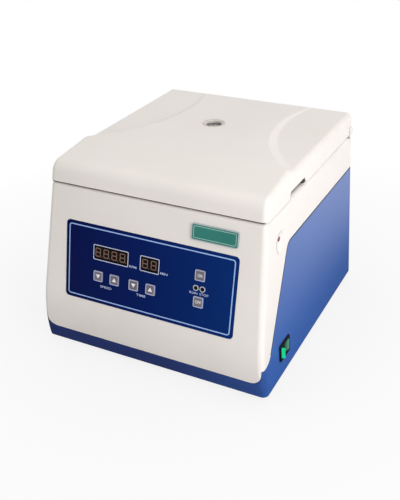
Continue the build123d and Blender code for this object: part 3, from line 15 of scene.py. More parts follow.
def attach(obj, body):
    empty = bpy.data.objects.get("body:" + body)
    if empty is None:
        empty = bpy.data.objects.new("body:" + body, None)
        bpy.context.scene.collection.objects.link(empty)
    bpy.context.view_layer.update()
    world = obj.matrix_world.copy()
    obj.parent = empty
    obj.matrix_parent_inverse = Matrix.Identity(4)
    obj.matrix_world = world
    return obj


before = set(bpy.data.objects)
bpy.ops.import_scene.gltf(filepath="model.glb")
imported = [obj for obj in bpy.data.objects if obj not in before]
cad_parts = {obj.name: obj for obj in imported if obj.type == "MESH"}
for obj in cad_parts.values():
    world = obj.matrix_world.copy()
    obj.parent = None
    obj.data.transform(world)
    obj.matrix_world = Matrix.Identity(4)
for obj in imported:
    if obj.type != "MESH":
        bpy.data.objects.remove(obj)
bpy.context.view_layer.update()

MM = 0.001

# %% [markdown]
# ## Camera
# A camera is a place, a direction and a lens. Instead of nudging it by eye, its direction is
# written as two angles and a small tilt, and its place as a distance from a point inside the
# machine. The lens is in millimetres for a 36 mm sensor along the tall side of the picture.

# %% Place the camera
TURN = math.radians(27.322)
DROP = math.radians(29.04)
TILT = math.radians(-1.204)
AIM = Vector((-7.4, -6.0, 87.0)) * MM
AWAY = 980.7 * MM

back = Vector((math.sin(TURN) * math.cos(DROP), -math.cos(TURN) * math.cos(DROP), math.sin(DROP)))
level = (-back).cross(Vector((0, 0, 1))).normalized()
upright = level.cross(-back)
side = level * math.cos(TILT) + upright * math.sin(TILT)
top = upright * math.cos(TILT) - level * math.sin(TILT)
camera = bpy.data.objects.new("camera", bpy.data.cameras.new("camera"))
bpy.context.scene.collection.objects.link(camera)
camera.matrix_world = Matrix.Translation(AIM + back * AWAY) @ Matrix((side, top, back)).transposed().to_4x4()
camera.data.lens = 53.89
camera.data.clip_start = 0.05
bpy.context.scene.camera = camera
print("camera stands", [round(v, 3) for v in camera.location], "m from the bench's origin")

# %% [markdown]
# ## Node helpers
# A shader is a small graph. One helper adds any node with its settings and its links, so that
# each finish below reads as a list of steps. Colours are written as the hex codes a painter or
# a web page would use, and are turned to linear light in one place.

# %% Add a node, and turn a colour to linear light
def linear(code):
    channels = [int(code[i:i + 2], 16) / 255 for i in (1, 3, 5)]
    return [c / 12.92 if c <= 0.04045 else ((c + 0.055) / 1.055) ** 2.4 for c in channels] + [1.0]


def add(tree, kind, links={}, stops=(), **settings):
    made = tree.nodes.new("ShaderNode" + kind)
    for name, value in settings.items():
        setattr(made, name, value)
    for name, value in links.items():
        if isinstance(value, bpy.types.Node):
            value = value.outputs[0]
        if isinstance(value, bpy.types.NodeSocket):
            tree.links.new(value, made.inputs[name])
        else:
            made.inputs[name].default_value = value
    for number, (place, colour) in enumerate(stops):
        if number > 1:
            made.color_ramp.elements.new(place)
        made.color_ramp.elements[number].position = place
        made.color_ramp.elements[number].color = linear(colour)
    return made


def blank(name):
    made = bpy.data.materials.new(name)
    made.use_nodes = True
    made.node_tree.nodes.clear()
    place = add(made.node_tree, "TexCoord").outputs["Object"]
    return made, made.node_tree, place


# %% [markdown]
# ## Bench and light
# A product picture is lit by a large soft source on one side and a pale room all round. The
# room is the world's colour. A broad lamp from the right makes the right side the brightest,
# and a weaker one above lifts the lid. Gloss shows the room as well, and a real studio is dark
# on the camera's side, so rays that leave a glossy face towards the front find less light. What
# the camera sees directly, or through a clear piece, is plain white.

# %% Light the room
def seen_directly(tree, rays):
    return add(tree, "Math", {0: rays.outputs["Is Camera Ray"], 1: rays.outputs["Is Transmission Ray"]},
               operation="MAXIMUM")


scene = bpy.context.scene
scene.view_settings.view_transform = "Standard"
world = bpy.data.worlds.new("room")
scene.world = world
world.use_nodes = True
tree = world.node_tree
tree.nodes.clear()
rays = add(tree, "LightPath")
heading = add(tree, "SeparateXYZ", {"Vector": add(tree, "TexCoord").outputs["Generated"]})
sheen = add(tree, "MapRange", {"Value": heading.outputs["Y"], "From Min": -0.7, "From Max": 0.3,
                               "To Min": 0.12, "To Max": 1.0})
room = add(tree, "Background", {"Color": linear("#F8F5F3"), "Strength": 0.73})
mirrored = add(tree, "Background", {"Color": linear("#FFFFFF"), "Strength": sheen})
white = add(tree, "Background", {"Color": linear("#FFFFFF"), "Strength": 1.0})
lit = add(tree, "MixShader", {0: rays.outputs["Is Glossy Ray"], 1: room, 2: mirrored})
seen = seen_directly(tree, rays)
add(tree, "OutputWorld", {"Surface": add(tree, "MixShader", {0: seen, 1: lit, 2: white})})


def lamp(name, place, aim, size, watts, colour):
    made = bpy.data.objects.new(name, bpy.data.lights.new(name, "AREA"))
    made.data.shape = "RECTANGLE"
    made.data.size, made.data.size_y = size
    made.data.energy = watts
    made.data.color = linear(colour)[:3]
    made.location = place
    made.rotation_euler = (Vector(aim) - Vector(place)).to_track_quat("-Z", "Y").to_euler()
    scene.collection.objects.link(made)
    print(name, watts, "W")


lamp("right_softbox", (1.1, -0.62, 0.62), (0.1, 0, 0.1), (0.75, 0.75), 10.1, "#FFFDFF")
lamp("overhead_softbox", (0.2, 0.3, 2.4), (0, 0, 0.2), (1.8, 1.8), 6.5, "#FFFAF6")

# %% [markdown]
# The bench is a large sheet of matt grey card, which throws little light back up at the machine.
# The camera sees it nearly white, with enough of the card under the white to keep the machine's
# shadow near it and none far off. In a glossy face the sheet is bright well out to either side
# and behind, and falls off close to the machine and towards the front, where the machine shades it.

# %% Lay the bench
bench_mesh = bmesh.new()
bmesh.ops.create_grid(bench_mesh, x_segments=1, y_segments=1, size=8)
bench = bpy.data.objects.new("bench", bpy.data.meshes.new("bench"))
bench_mesh.to_mesh(bench.data)
bench_mesh.free()
scene.collection.objects.link(bench)

bench_paint, tree, place = blank("bench_card")
rays = add(tree, "LightPath")
distance = add(tree, "VectorMath", {0: place}, operation="LENGTH").outputs["Value"]
spot = add(tree, "SeparateXYZ", {"Vector": place})
aside = add(tree, "Math", {0: spot.outputs["X"]}, operation="ABSOLUTE")
beside = add(tree, "MapRange", {"Value": aside, "From Min": 0.185, "From Max": 0.275,
                                "To Min": 0.1, "To Max": 1.0})
behind = add(tree, "MapRange", {"Value": spot.outputs["Y"], "From Min": -0.7, "From Max": 0.42,
                                "To Min": 0.12, "To Max": 1.6})
both = add(tree, "Math", {0: beside, 1: behind}, operation="MULTIPLY")
matt = add(tree, "BsdfDiffuse", {"Color": linear("#D2D2D2")})
glow = add(tree, "Emission", {"Color": linear("#FFFFFF"), "Strength": 1.0})
gleam = add(tree, "Emission", {"Color": linear("#FFFFFF"), "Strength": both})
white = add(tree, "MapRange", {"Value": distance, "From Min": 0.2, "From Max": 0.6,
                               "To Min": 0.84, "To Max": 1.0})
share = add(tree, "Math", {0: seen_directly(tree, rays), 1: white}, operation="MULTIPLY")
plain = add(tree, "MixShader", {0: share, 1: matt, 2: glow})
mixed = add(tree, "MixShader", {0: rays.outputs["Is Glossy Ray"], 1: plain, 2: gleam})
add(tree, "OutputMaterial", {"Surface": mixed})
bench.data.materials.append(bench_paint)

# %% [markdown]
# ## Moulded plastics
# The housings and the lid are moulded ABS from a tool with a fine spark-eroded grain. The grain
# breaks up the highlight more than it colours the surface, so it goes into bump and roughness.
# A very slow drift of the colour keeps the large faces from looking computed. The real grain is
# near 0.1 mm; it is drawn at about 0.9 mm so that it still shows. The same recipe with other
# colours and grains serves the rubbers and the sponge.

# %% Mix a moulded plastic
def moulded(name, pale, deep, rough, grain_mm=0.9, height_mm=0.01, ior=1.53, shine=0.5):
    made, tree, place = blank(name)
    drift = add(tree, "TexNoise", {"Vector": place, "Scale": 9.0, "Detail": 2.0})
    grain = add(tree, "TexNoise", {"Vector": place, "Scale": 1000 / grain_mm, "Detail": 2.0})
    colour = add(tree, "ValToRGB", {"Fac": drift.outputs["Fac"]}, stops=((0.3, deep), (0.7, pale)))
    gloss = add(tree, "MapRange", {"Value": grain.outputs["Fac"], "To Min": rough - 0.05,
                                   "To Max": rough + 0.07})
    bump = add(tree, "Bump", {"Height": grain.outputs["Fac"], "Strength": 0.25, "Distance": height_mm * MM})
    shader = add(tree, "BsdfPrincipled", {"Base Color": colour, "Roughness": gloss, "Normal": bump,
                                          "IOR": ior, "Specular IOR Level": shine})
    add(tree, "OutputMaterial", {"Surface": shader})
    return made


abs_white = moulded("abs_warm_white", "#E9E5E1", "#E4E0DB", 0.42)
abs_liner = moulded("abs_liner_grey", "#C9C6C1", "#C0BDB8", 0.5)
nylon_black = moulded("nylon_black", "#0B0C10", "#08090C", 0.5, 0.6, shine=0.12)
port_plastic = moulded("acetal_ivory", "#CFCBC6", "#C4BFB9", 0.34, 0.6)
satin_frame = moulded("satin_frame_grey", "#C2C5CC", "#B2B6BE", 0.4, 0.5)
component_plastic = moulded("component_mouldings", "#2C3038", "#23262C", 0.45, 0.5)
rubber_black = moulded("nitrile_rubber", "#16171A", "#101114", 0.72, 1.2, 0.02, 1.52)
rubber_grey = moulded("silicone_boot", "#5E6166", "#54575C", 0.66, 1.2, 0.02, 1.43)
# dark brown sponge for the strips laid in the gaps under the lid as painted shade
sponge = moulded("brown_shade_sponge", "#4C3E38", "#3E322D", 0.85, 1.4, 0.03, 1.5)

# %% [markdown]
# The base is the same plastic in blue. Its narrow skirt under the front is painted a deeper navy than the
# sides, and most so at the left: painted shade, which goes over to navy by the place on the machine.

# %% Mix the blue of the base
abs_blue = moulded("abs_blue", "#2C5BA8", "#2857A2", 0.36)
tree = abs_blue.node_tree
shader = tree.nodes["Principled BSDF"]
sides = shader.inputs["Base Color"].links[0].from_socket
spot = add(tree, "SeparateXYZ", {"Vector": add(tree, "TexCoord").outputs["Object"]})
# painted shade: the front skirt is mixed towards navy #1C3272, most at the left
front = add(tree, "MapRange", {"Value": spot.outputs["Y"], "From Min": -149.5 * MM, "From Max": -155.5 * MM})
left = add(tree, "MapRange", {"Value": spot.outputs["X"], "From Min": 150 * MM, "From Max": 30 * MM,
                              "To Min": 0.35})
both = add(tree, "Math", {0: front, 1: left}, operation="MULTIPLY")
painted_skirt_shade = add(tree, "Mix", {0: both, 6: sides, 7: linear("#1C3272")}, data_type="RGBA")
tree.links.new(painted_skirt_shade.outputs[2], shader.inputs["Base Color"])

# %% [markdown]
# ## Metals
# Sheet steel parts are zinc plated, which leaves a faint patchwork of crystals. The bowl is spun
# from stainless sheet, and the tool leaves fine rings round its axis. The rotor is turned and
# anodised, so its rings are finer and its gloss softer. A metal keeps the default IOR, and all
# of its look comes from colour and roughness. The wave pattern draws about 3.2 bands for each
# unit of its scale, which the first function allows for.

# %% Mix the metals
WAVE_BANDS = 3.2


def bands_per_metre(width_mm):
    return 1000 / width_mm / WAVE_BANDS


def turned(name, pale, deep, rough, ring_mm, y):
    made, tree, place = blank(name)
    centred = add(tree, "Mapping", {"Vector": place, "Location": (0.0, -y * MM, 0.0)})
    rings = add(tree, "TexWave", {"Vector": centred, "Scale": bands_per_metre(ring_mm), "Distortion": 0.6,
                                  "Detail": 1.0}, wave_type="RINGS", rings_direction="SPHERICAL")
    smear = add(tree, "TexNoise", {"Vector": centred, "Scale": 60.0, "Detail": 3.0})
    colour = add(tree, "ValToRGB", {"Fac": smear.outputs["Fac"]}, stops=((0.25, deep), (0.75, pale)))
    gloss = add(tree, "MapRange", {"Value": rings.outputs["Fac"], "To Min": rough - 0.05,
                                   "To Max": rough + 0.08})
    bump = add(tree, "Bump", {"Height": rings.outputs["Fac"], "Strength": 0.15, "Distance": 0.01 * MM})
    shader = add(tree, "BsdfPrincipled", {"Base Color": colour, "Roughness": gloss, "Normal": bump,
                                          "Metallic": 1.0})
    add(tree, "OutputMaterial", {"Surface": shader})
    return made


def plated(name, pale, deep, rough, patch_mm=2.5):
    made, tree, place = blank(name)
    patches = add(tree, "TexVoronoi", {"Vector": place, "Scale": 1000 / patch_mm})
    colour = add(tree, "ValToRGB", {"Fac": patches.outputs["Distance"]}, stops=((0.1, pale), (0.8, deep)))
    gloss = add(tree, "MapRange", {"Value": patches.outputs["Distance"], "To Min": rough - 0.04,
                                   "To Max": rough + 0.1})
    shader = add(tree, "BsdfPrincipled", {"Base Color": colour, "Roughness": gloss, "Metallic": 1.0})
    add(tree, "OutputMaterial", {"Surface": shader})
    return made


BOWL_Y = 30.0
stainless = turned("spun_stainless", "#D2D2D0", "#C2C3C4", 0.3, 1.6, y=BOWL_Y)
anodised = turned("anodised_aluminium", "#D6D8DA", "#C6C9CC", 0.36, 0.9, y=BOWL_Y)
zinc = plated("zinc_plated_steel", "#CDCFCF", "#B4B8BA", 0.34)
brass = plated("plated_brass", "#D8C07A", "#C4A85E", 0.3, 1.2)

# %% [markdown]
# Inside the motor there are stacks of thin steel sheet and coils of lacquered wire. Both are
# stripes: the sheets lie flat, one above the next, and the wire lies round the core. Stripes
# come from a wave pattern whose bands run along one axis. The sheets are 0.5 mm thick and are
# drawn at 1 mm, the wire at its own 0.8 mm. The circuit boards have faint stripes of tracks.

# %% Mix laminations, windings, motor enamel and circuit board
def striped(name, pale, deep, rough, stripe_mm, axis, metal):
    made, tree, place = blank(name)
    bands = add(tree, "TexWave", {"Vector": place, "Scale": bands_per_metre(stripe_mm), "Distortion": 0.2},
                wave_type="BANDS", bands_direction=axis)
    drift = add(tree, "TexNoise", {"Vector": place, "Scale": 70.0, "Detail": 3.0})
    mixed = add(tree, "Math", {0: bands.outputs["Fac"], 1: drift.outputs["Fac"]}, operation="MULTIPLY")
    colour = add(tree, "ValToRGB", {"Fac": mixed}, stops=((0.1, deep), (0.6, pale)))
    bump = add(tree, "Bump", {"Height": bands.outputs["Fac"], "Strength": 0.5, "Distance": 0.1 * MM})
    shader = add(tree, "BsdfPrincipled", {"Base Color": colour, "Roughness": rough, "Normal": bump,
                                          "Metallic": metal})
    add(tree, "OutputMaterial", {"Surface": shader})
    return made


laminations = striped("varnished_laminations", "#6E7074", "#3C3E42", 0.4, 1.0, "Z", 0.8)
winding = striped("enamelled_copper", "#C06A34", "#7C3C18", 0.32, 0.8, "Z", 0.9)
enamel_black = moulded("motor_enamel", "#26282B", "#1D1F21", 0.3, 0.7)
board_green = striped("glass_fibre_board", "#2C6A3C", "#235730", 0.42, 1.2, "X", 0.0)

# %% [markdown]
# ## Clear and glossy pieces
# The sight port's window is clear acrylic, so it is a transmitting shader with an IOR of 1.49.
# A faint noise in its roughness stands for fine scratches. The display windows and their frames
# are a smoked resin: dark, smooth, and mostly seen by what they reflect.

# %% Mix acrylic, smoked resin and lamp resin
def resin(name, pale, deep, rough, ior=1.5, clear=0.0, speck_mm=1.5):
    made, tree, place = blank(name)
    haze = add(tree, "TexNoise", {"Vector": place, "Scale": 1000 / speck_mm, "Detail": 3.0})
    colour = add(tree, "ValToRGB", {"Fac": haze.outputs["Fac"]}, stops=((0.3, deep), (0.7, pale)))
    gloss = add(tree, "MapRange", {"Value": haze.outputs["Fac"], "To Min": rough * 0.6,
                                   "To Max": rough * 1.4})
    shader = add(tree, "BsdfPrincipled", {"Base Color": colour, "Roughness": gloss, "IOR": ior,
                                          "Transmission Weight": clear})
    add(tree, "OutputMaterial", {"Surface": shader})
    return made


acrylic = resin("clear_acrylic", "#DEDCDE", "#D4D2D4", 0.06, 1.49, 0.9)
smoked = resin("smoked_display_resin", "#0C0707", "#070404", 0.24)
lamp_resin = resin("lamp_resin_unlit", "#151814", "#0E100E", 0.16)
red_resin = resin("red_button_resin", "#8E1018", "#780C12", 0.25)

# %% [markdown]
# ## Printed film and inks
# The control panel is a polycarbonate film, printed navy on its back, with pale screen-printed
# lines and words. The navy is a little lighter towards the right, where the light comes from.
# The film is etched matt, which leaves it hardly any sheen.

# %% Mix the navy film and the inks
navy_film, tree, place = blank("navy_printed_film")
HALF_FILM = 110.0
spot = add(tree, "SeparateXYZ", {"Vector": place})
across = add(tree, "MapRange", {"Value": spot.outputs["X"], "From Min": -HALF_FILM * MM,
                                "From Max": HALF_FILM * MM})
dots = add(tree, "TexNoise", {"Vector": place, "Scale": 1400.0, "Detail": 1.0})
colour = add(tree, "ValToRGB", {"Fac": across}, stops=((0.0, "#000E4A"), (0.5, "#001B5C"), (1.0, "#002A6C")))
bump = add(tree, "Bump", {"Height": dots.outputs["Fac"], "Strength": 0.1, "Distance": 0.01 * MM})
shader = add(tree, "BsdfPrincipled", {"Base Color": colour, "Roughness": 0.36, "Normal": bump, "IOR": 1.58,
                                      "Specular IOR Level": 0.08})
add(tree, "OutputMaterial", {"Surface": shader})


def ink(name, pale, deep):
    made, tree, place = blank(name)
    grain = add(tree, "TexNoise", {"Vector": place, "Scale": 900.0, "Detail": 2.0})
    colour = add(tree, "ValToRGB", {"Fac": grain.outputs["Fac"]}, stops=((0.35, deep), (0.65, pale)))
    shader = add(tree, "BsdfPrincipled", {"Base Color": colour, "Roughness": 0.5})
    add(tree, "OutputMaterial", {"Surface": shader})
    return made


line_ink = ink("pale_blue_ink", "#9FBFF2", "#93B3EA")
word_ink = ink("white_ink", "#C6D2F0", "#B8C6E8")
mark_ink = ink("key_mark_white", "#F4F2F6", "#E8E6EC")
key_rim_ink = ink("key_border_ink", "#B9C0E2", "#A9B2DA")
segment_ink = ink("unlit_segment", "#86695A", "#74584A")
badge_line = ink("badge_line_silver", "#BFE0D8", "#A8D0C6")
rim_lacquer = ink("display_rim_lacquer", "#C6CEE8", "#B6C0E0")

# %% [markdown]
# The keys are grey elastomer and the badge is a teal plate, both with the slow drift of colour
# that the mouldings have. The power rocker is a dark green resin. Its end wall that stands proud
# is painted bright green with a faint glow, as painted light, and behind the valley a painted
# highlight makes the resin paler, up to its rear ridge. Both changes go by the place along the machine.

# %% Mix the keys, the badge and the lit rocker
key_grey = moulded("key_elastomer", "#74747C", "#646068", 0.5, 0.6)
teal = moulded("badge_enamel", "#3A9084", "#256F66", 0.3, 1.5)

rocker_green, tree, place = blank("green_rocker_painted_light")
cloud = add(tree, "TexNoise", {"Vector": place, "Scale": 160.0, "Detail": 2.0})
END_WALL, VALLEY, REAR_RIDGE = -108.3, -101.0, -90.0
along = add(tree, "SeparateXYZ", {"Vector": place}).outputs["Y"]
# painted light: the proud end wall is painted bright green and given a faint glow
lit = add(tree, "MapRange", {"Value": along, "From Min": END_WALL * MM, "From Max": (END_WALL - 0.5) * MM})
wavy = add(tree, "Math", {0: cloud.outputs["Fac"], 1: 0.12, 2: -0.06}, operation="MULTIPLY_ADD")
glow = add(tree, "Math", {0: lit, 1: wavy}, operation="ADD", use_clamp=True)
body = add(tree, "ValToRGB", {"Fac": glow}, stops=((0.05, "#0C4632"), (0.95, "#12CC8C")))
light = add(tree, "MapRange", {"Value": glow, "To Min": 0.0, "To Max": 0.2})
# painted highlight: the resin behind the valley is mixed paler, up to the rear ridge
painted_highlight = add(tree, "MapRange", {"Value": along, "From Min": VALLEY * MM, "From Max": REAR_RIDGE * MM,
                                "To Max": 0.7})
colour = add(tree, "Mix", {0: painted_highlight, 6: body, 7: linear("#5FA48C")}, data_type="RGBA").outputs[2]
shader = add(tree, "BsdfPrincipled", {"Base Color": colour, "Roughness": 0.16, "IOR": 1.49,
                                      "Emission Color": linear("#18D898"), "Emission Strength": light})
add(tree, "OutputMaterial", {"Surface": shader})

# %% [markdown]
# ## Dress the measured solids
# Each solid already has the right shape, so it only changes its finish. A table of names keeps
# that readable, and the loop says so if a name has no solid or a solid has no finish.

# %% Give every solid its finish
FINISHES = {
    abs_white: "upper_housing lid_shell",
    abs_blue: "base_housing",
    abs_liner: "lid_liner",
    rubber_black: "rubber_feet chamber_gasket motor_dampers",
    rubber_grey: "shaft_boot",
    stainless: "chamber_bowl drive_shaft lower_bearing upper_bearing",
    anodised: "angle_rotor rotor_nut",
    zinc: "base_plate base_screws deck_screws lid_screws board_screws hinge_brackets hinge_pins motor_mount "
          "lid_striker latch_bracket latch_pin latch_spring latch_hook",
    enamel_black: "motor_can motor_end_cap",
    laminations: "motor_stator motor_armature transformer",
    winding: "transformer_coil",
    board_green: "display_board drive_board",
    component_plastic: "drive_components key_switches",
    brass: "inlet_pins board_pillars",
    nylon_black: "switch_bezel mains_inlet fuse_holder",
    navy_film: "control_panel",
    smoked: "speed_display time_display display_frames",
    satin_frame: "indicator_rings",
    lamp_resin: "indicator_lamps",
    key_grey: "speed_down_key speed_up_key time_down_key time_up_key start_key stop_key",
    teal: "badge_plate",
    rocker_green: "power_rocker",
    red_resin: "release_button",
    port_plastic: "sight_port_ring",
    acrylic: "sight_port_window",
}
bare = set(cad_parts)
for coat, names in FINISHES.items():
    for name in names.split():
        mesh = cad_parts[name].data
        mesh.materials.clear()
        mesh.materials.append(coat)
        bare.discard(name)
print("solids without a finish:", sorted(bare))

# %% [markdown]
# ## Flat work on a sloped face
# Printing, rims and digits are thin flat shapes on the sloped panel. Each one is easiest to cut
# out lying flat, in millimetres from the panel's middle, and to carry to the slope at the end
# with one matrix. The tops of the film, the keys, the frames and the badge are heights over the
# panel's plane. A print sinks into its ground by a small lap and stands up by its ink.

# %% Set out the panel's face
def face_at(origin_mm, across, up):
    across, up = Vector(across).normalized(), Vector(up).normalized()
    turn = Matrix((across, up, across.cross(up))).transposed().to_4x4()
    return Matrix.Translation(Vector(origin_mm) * MM) @ turn


LEAN = math.radians(11.7)
PANEL = face_at((-1.0, -150.45, 126.4), (1, 0, 0), (0, math.sin(LEAN), math.cos(LEAN)))
FILM_TOP = 0.4
KEY_TOP = 1.4
FRAME_TOP = 1.0
BADGE_TOP = 1.0
LAP = 0.02
INK = 0.05
print("the panel leans back", round(math.degrees(LEAN), 1), "degrees")

# %% [markdown]
# A flat tile starts as a one-square grid. Bevelling its four corner points rounds it, insetting
# it leaves a frame, and extruding it gives the ink or the rim its thickness. Every printed line,
# key rim and digit segment below is this one recipe with other numbers. A finished piece has its
# faces turned outwards, gets its finish, and rides on one of the machine's moving bodies. Where a
# piece is made of shapes that were turned one by one, each is poured into it as a mesh.

# %% Cut a tile, and turn a shape into a finished piece
def tile(shape, size, at, low, high, corner=0.0, border=0.0, steps=4, turn=0.0):
    old_faces, old_verts = set(shape.faces), set(shape.verts)
    start = bmesh.ops.create_grid(shape, x_segments=1, y_segments=1, size=0.5)["verts"]
    bmesh.ops.scale(shape, vec=(size[0] * MM, size[1] * MM, 1.0), verts=start)
    if corner:
        bmesh.ops.bevel(shape, geom=start, offset=corner * MM, affect="VERTICES", segments=steps,
                        profile=0.5, material=-1)
    faces = [f for f in shape.faces if f not in old_faces]
    if border:
        ring = bmesh.ops.inset_region(shape, faces=faces, thickness=border * MM,
                                      use_even_offset=True, use_boundary=True)["faces"]
        bmesh.ops.delete(shape, geom=faces, context="FACES_ONLY")
        faces = ring
    raised = bmesh.ops.extrude_face_region(shape, geom=faces)
    bmesh.ops.translate(shape, vec=(0, 0, (high - low) * MM), verts=newest_points(raised))
    fresh = [v for v in shape.verts if v not in old_verts]
    bmesh.ops.rotate(shape, matrix=Matrix.Rotation(turn, 3, "Z"), verts=fresh)
    bmesh.ops.translate(shape, vec=(at[0] * MM, at[1] * MM, low * MM), verts=fresh)


def piece(name, shape, face, coat, body, smooth=False):
    bmesh.ops.recalc_face_normals(shape, faces=shape.faces)
    shape.transform(face)
    made = bpy.data.objects.new(name, bpy.data.meshes.new(name))
    shape.to_mesh(made.data)
    shape.free()
    made.data.materials.append(coat)
    if smooth:
        made.data.shade_smooth()
    scene.collection.objects.link(made)
    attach(made, body)
    print(name, len(made.data.polygons), "faces")


def pour(shape, part, place):
    part.transform(place)
    flat = bpy.data.meshes.new("part")
    part.to_mesh(flat)
    part.free()
    shape.from_mesh(flat)
    bpy.data.meshes.remove(flat)


def newest_points(result):
    return [g for g in result["geom"] if isinstance(g, bmesh.types.BMVert)]


# %% [markdown]
# ## Printed border of the panel
# A pale blue line runs round the film, about 3.5 mm in from its edge. It is screen-printed, so
# it is a skin of ink with hardly any height.

# %% Print the border
border = bmesh.new()
tile(border, (213.6, 88.1), (0, 0), FILM_TOP - LAP, FILM_TOP + INK, corner=3.6, border=1.3, steps=8)
piece("panel_border_line", border, PANEL, line_ink, "housing")

# %% [markdown]
# ## Plain words
# The words say what the keys and lamps do, in a plain capital face. A text object is a curve, so
# it is turned into a mesh first, then stretched to the width and height measured on the panel.

# %% Set the words
def word(shape, text, at, span, height, low, high):
    letters = bpy.data.curves.new(text, "FONT")
    letters.body = text
    letters.align_x = letters.align_y = "CENTER"
    letters.offset = 0.004
    letters.extrude = 0.5
    letters.resolution_u = 3
    holder = bpy.data.objects.new(text, letters)
    flat = bpy.data.meshes.new_from_object(holder)
    corners = [[axis(v.co[i] for v in flat.vertices) for axis in (min, max)] for i in (0, 1)]
    middle = Vector([sum(pair) / 2 for pair in corners] + [0.0])
    stretch = [span * MM / (corners[0][1] - corners[0][0]), height * MM / (corners[1][1] - corners[1][0]),
               (high - low) * MM]
    flat.transform(Matrix.Translation((at[0] * MM, at[1] * MM, (low + high) / 2 * MM))
                   @ Matrix.Diagonal(stretch + [1.0]) @ Matrix.Translation(-middle))
    shape.from_mesh(flat)
    bpy.data.objects.remove(holder)
    bpy.data.curves.remove(letters)
    bpy.data.meshes.remove(flat)


WORDS = {"RPM": (-18.9, 7.8, 9.4), "MIN": (21.5, 8.6, 9.1), "SPEED": (-54.0, -25.8, 15.4),
         "TIME": (-6.5, -24.2, 12.2), "RUN": (59.5, -4.4, 9.6), "STOP": (72.4, -4.2, 11.0)}
words = bmesh.new()
for text, (u, v, span) in WORDS.items():
    word(words, text, (u, v), span, 2.7, FILM_TOP - LAP, FILM_TOP + INK)
piece("panel_words", words, PANEL, word_ink, "housing")

# %% [markdown]
# ## Key faces
# Each key has a pale rim round a grey face, and a mark in the middle: an arrow head, ON or OFF.
# Rim and mark ride on the key's own body, so that they go in with it when it is pressed. The
# table gives each arrow key its place along the row and the way its arrow points.

# %% Dress the six keys
MARK = 0.08
ARROW_ROW = -13.8
ARROW_KEYS = {"speed_down": (-64.7, -1), "speed_up": (-42.5, 1), "time_down": (-16.6, -1),
              "time_up": (5.6, 1)}
KEYS = {name: (u, ARROW_ROW) for name, (u, way) in ARROW_KEYS.items()}
KEYS["start"] = (66.4, 17.4)
KEYS["stop"] = (66.4, -13.9)
for name, (u, v) in KEYS.items():
    body = name + "_press_key"
    rim = bmesh.new()
    tile(rim, (12.1, 12.5), (u, v), KEY_TOP - 0.25, KEY_TOP + 0.12, corner=1.4, border=1.0)
    piece(name + "_key_rim", rim, PANEL, key_rim_ink, body)
    mark = bmesh.new()
    if name in ARROW_KEYS:
        way = ARROW_KEYS[name][1]
        head = bmesh.ops.create_circle(mark, cap_ends=True, segments=3, radius=3.3 * MM)["verts"]
        bmesh.ops.rotate(mark, matrix=Matrix.Rotation(0.0 if way > 0 else math.pi, 3, "Z"), verts=head)
        raised = bmesh.ops.extrude_face_region(mark, geom=mark.faces[:])
        bmesh.ops.translate(mark, vec=(0, 0, (MARK + LAP) * MM), verts=newest_points(raised))
        bmesh.ops.translate(mark, vec=(u * MM, (v - 0.5 * way) * MM, (KEY_TOP - LAP) * MM),
                            verts=mark.verts)
    else:
        text, span = ("ON", 5.6) if name == "start" else ("OFF", 7.4)
        word(mark, text, (u, v), span, 3.6, KEY_TOP - LAP, KEY_TOP + MARK)
    piece(name + "_key_mark", mark, PANEL, mark_ink, body)

# %% [markdown]
# ## Unlit digits
# A seven-segment digit is seven slim bars with clipped ends and a round point. Unlit, the bars
# show as a paler brown in the dark resin. Four digits make the speed, two the time. A bar is laid
# by the middle it has within its digit, its length and its turn.

# %% Lay the digits on the two windows
DISPLAY_ROW = 15.4
DIGIT_WIDTH, DIGIT_HEIGHT, DIGIT_PITCH = 7.4, 10.9, 11.0
BAR, POINT, SEGMENT = 1.15, 1.1, 0.04
wide, tall = DIGIT_WIDTH - BAR * 1.2, DIGIT_HEIGHT / 2 - BAR * 0.6
out, up = (DIGIT_WIDTH - BAR) / 2, (DIGIT_HEIGHT - BAR) / 2
BARS = [(0, up, wide, 0), (0, 0, wide, 0), (0, -up, wide, 0)]
BARS += [(way * out, half * up / 2, tall, math.pi / 2) for way in (-1, 1) for half in (-1, 1)]
low, high = FILM_TOP - LAP, FILM_TOP + SEGMENT
for name, first, count in (("speed_digits", -66.1, 4), ("time_digits", -3.1, 2)):
    digits = bmesh.new()
    for number in range(count):
        u = first + number * DIGIT_PITCH
        for bar_u, bar_v, length, turn in BARS:
            tile(digits, (length, BAR), (u + bar_u, DISPLAY_ROW + bar_v), low, high, corner=BAR * 0.45,
                 steps=1, turn=turn)
        tile(digits, (POINT, POINT), (u + 4.9, DISPLAY_ROW - DIGIT_HEIGHT / 2 + 0.5), low, high, corner=0.5,
             steps=3)
    piece(name, digits, PANEL, segment_ink, "housing")

# %% [markdown]
# ## Display rims
# A slim pale rim with rounded corners runs round each window, on top of the dark frame.

# %% Rim the two windows
for name, middle, width in (("speed_display_rim", -48.5, 47.4), ("time_display_rim", 3.0, 25.0)):
    rim = bmesh.new()
    tile(rim, (width, 18.6), (middle, DISPLAY_ROW), FRAME_TOP - 0.05, FRAME_TOP + 0.12, corner=1.5,
         border=0.95)
    piece(name, rim, PANEL, rim_lacquer, "housing")

# %% [markdown]
# ## Dark strips in the gaps, as painted shade
# The gaps under the lid read as dark lines, so strips of dark brown sponge are laid in them as
# painted shade. One is stuck inside the lid's front edge and goes up with it, and so does a short block
# in the rear end of the finger notch. Two more lie on the deck along the sides, and the right
# one shows in the notch. Each is a box with its edges bevelled, made by one function.

# %% Lay the sponge strips
def strip(name, low, high, body, edge=0.4):
    shape = bmesh.new()
    low, high = Vector(low) * MM, Vector(high) * MM
    bmesh.ops.create_cube(shape, size=1.0)
    bmesh.ops.scale(shape, vec=high - low, verts=shape.verts)
    bmesh.ops.bevel(shape, geom=shape.edges[:], offset=edge * MM, affect="EDGES", segments=3, profile=0.5,
                    material=-1)
    piece(name, shape, Matrix.Translation((low + high) / 2), sponge, body)


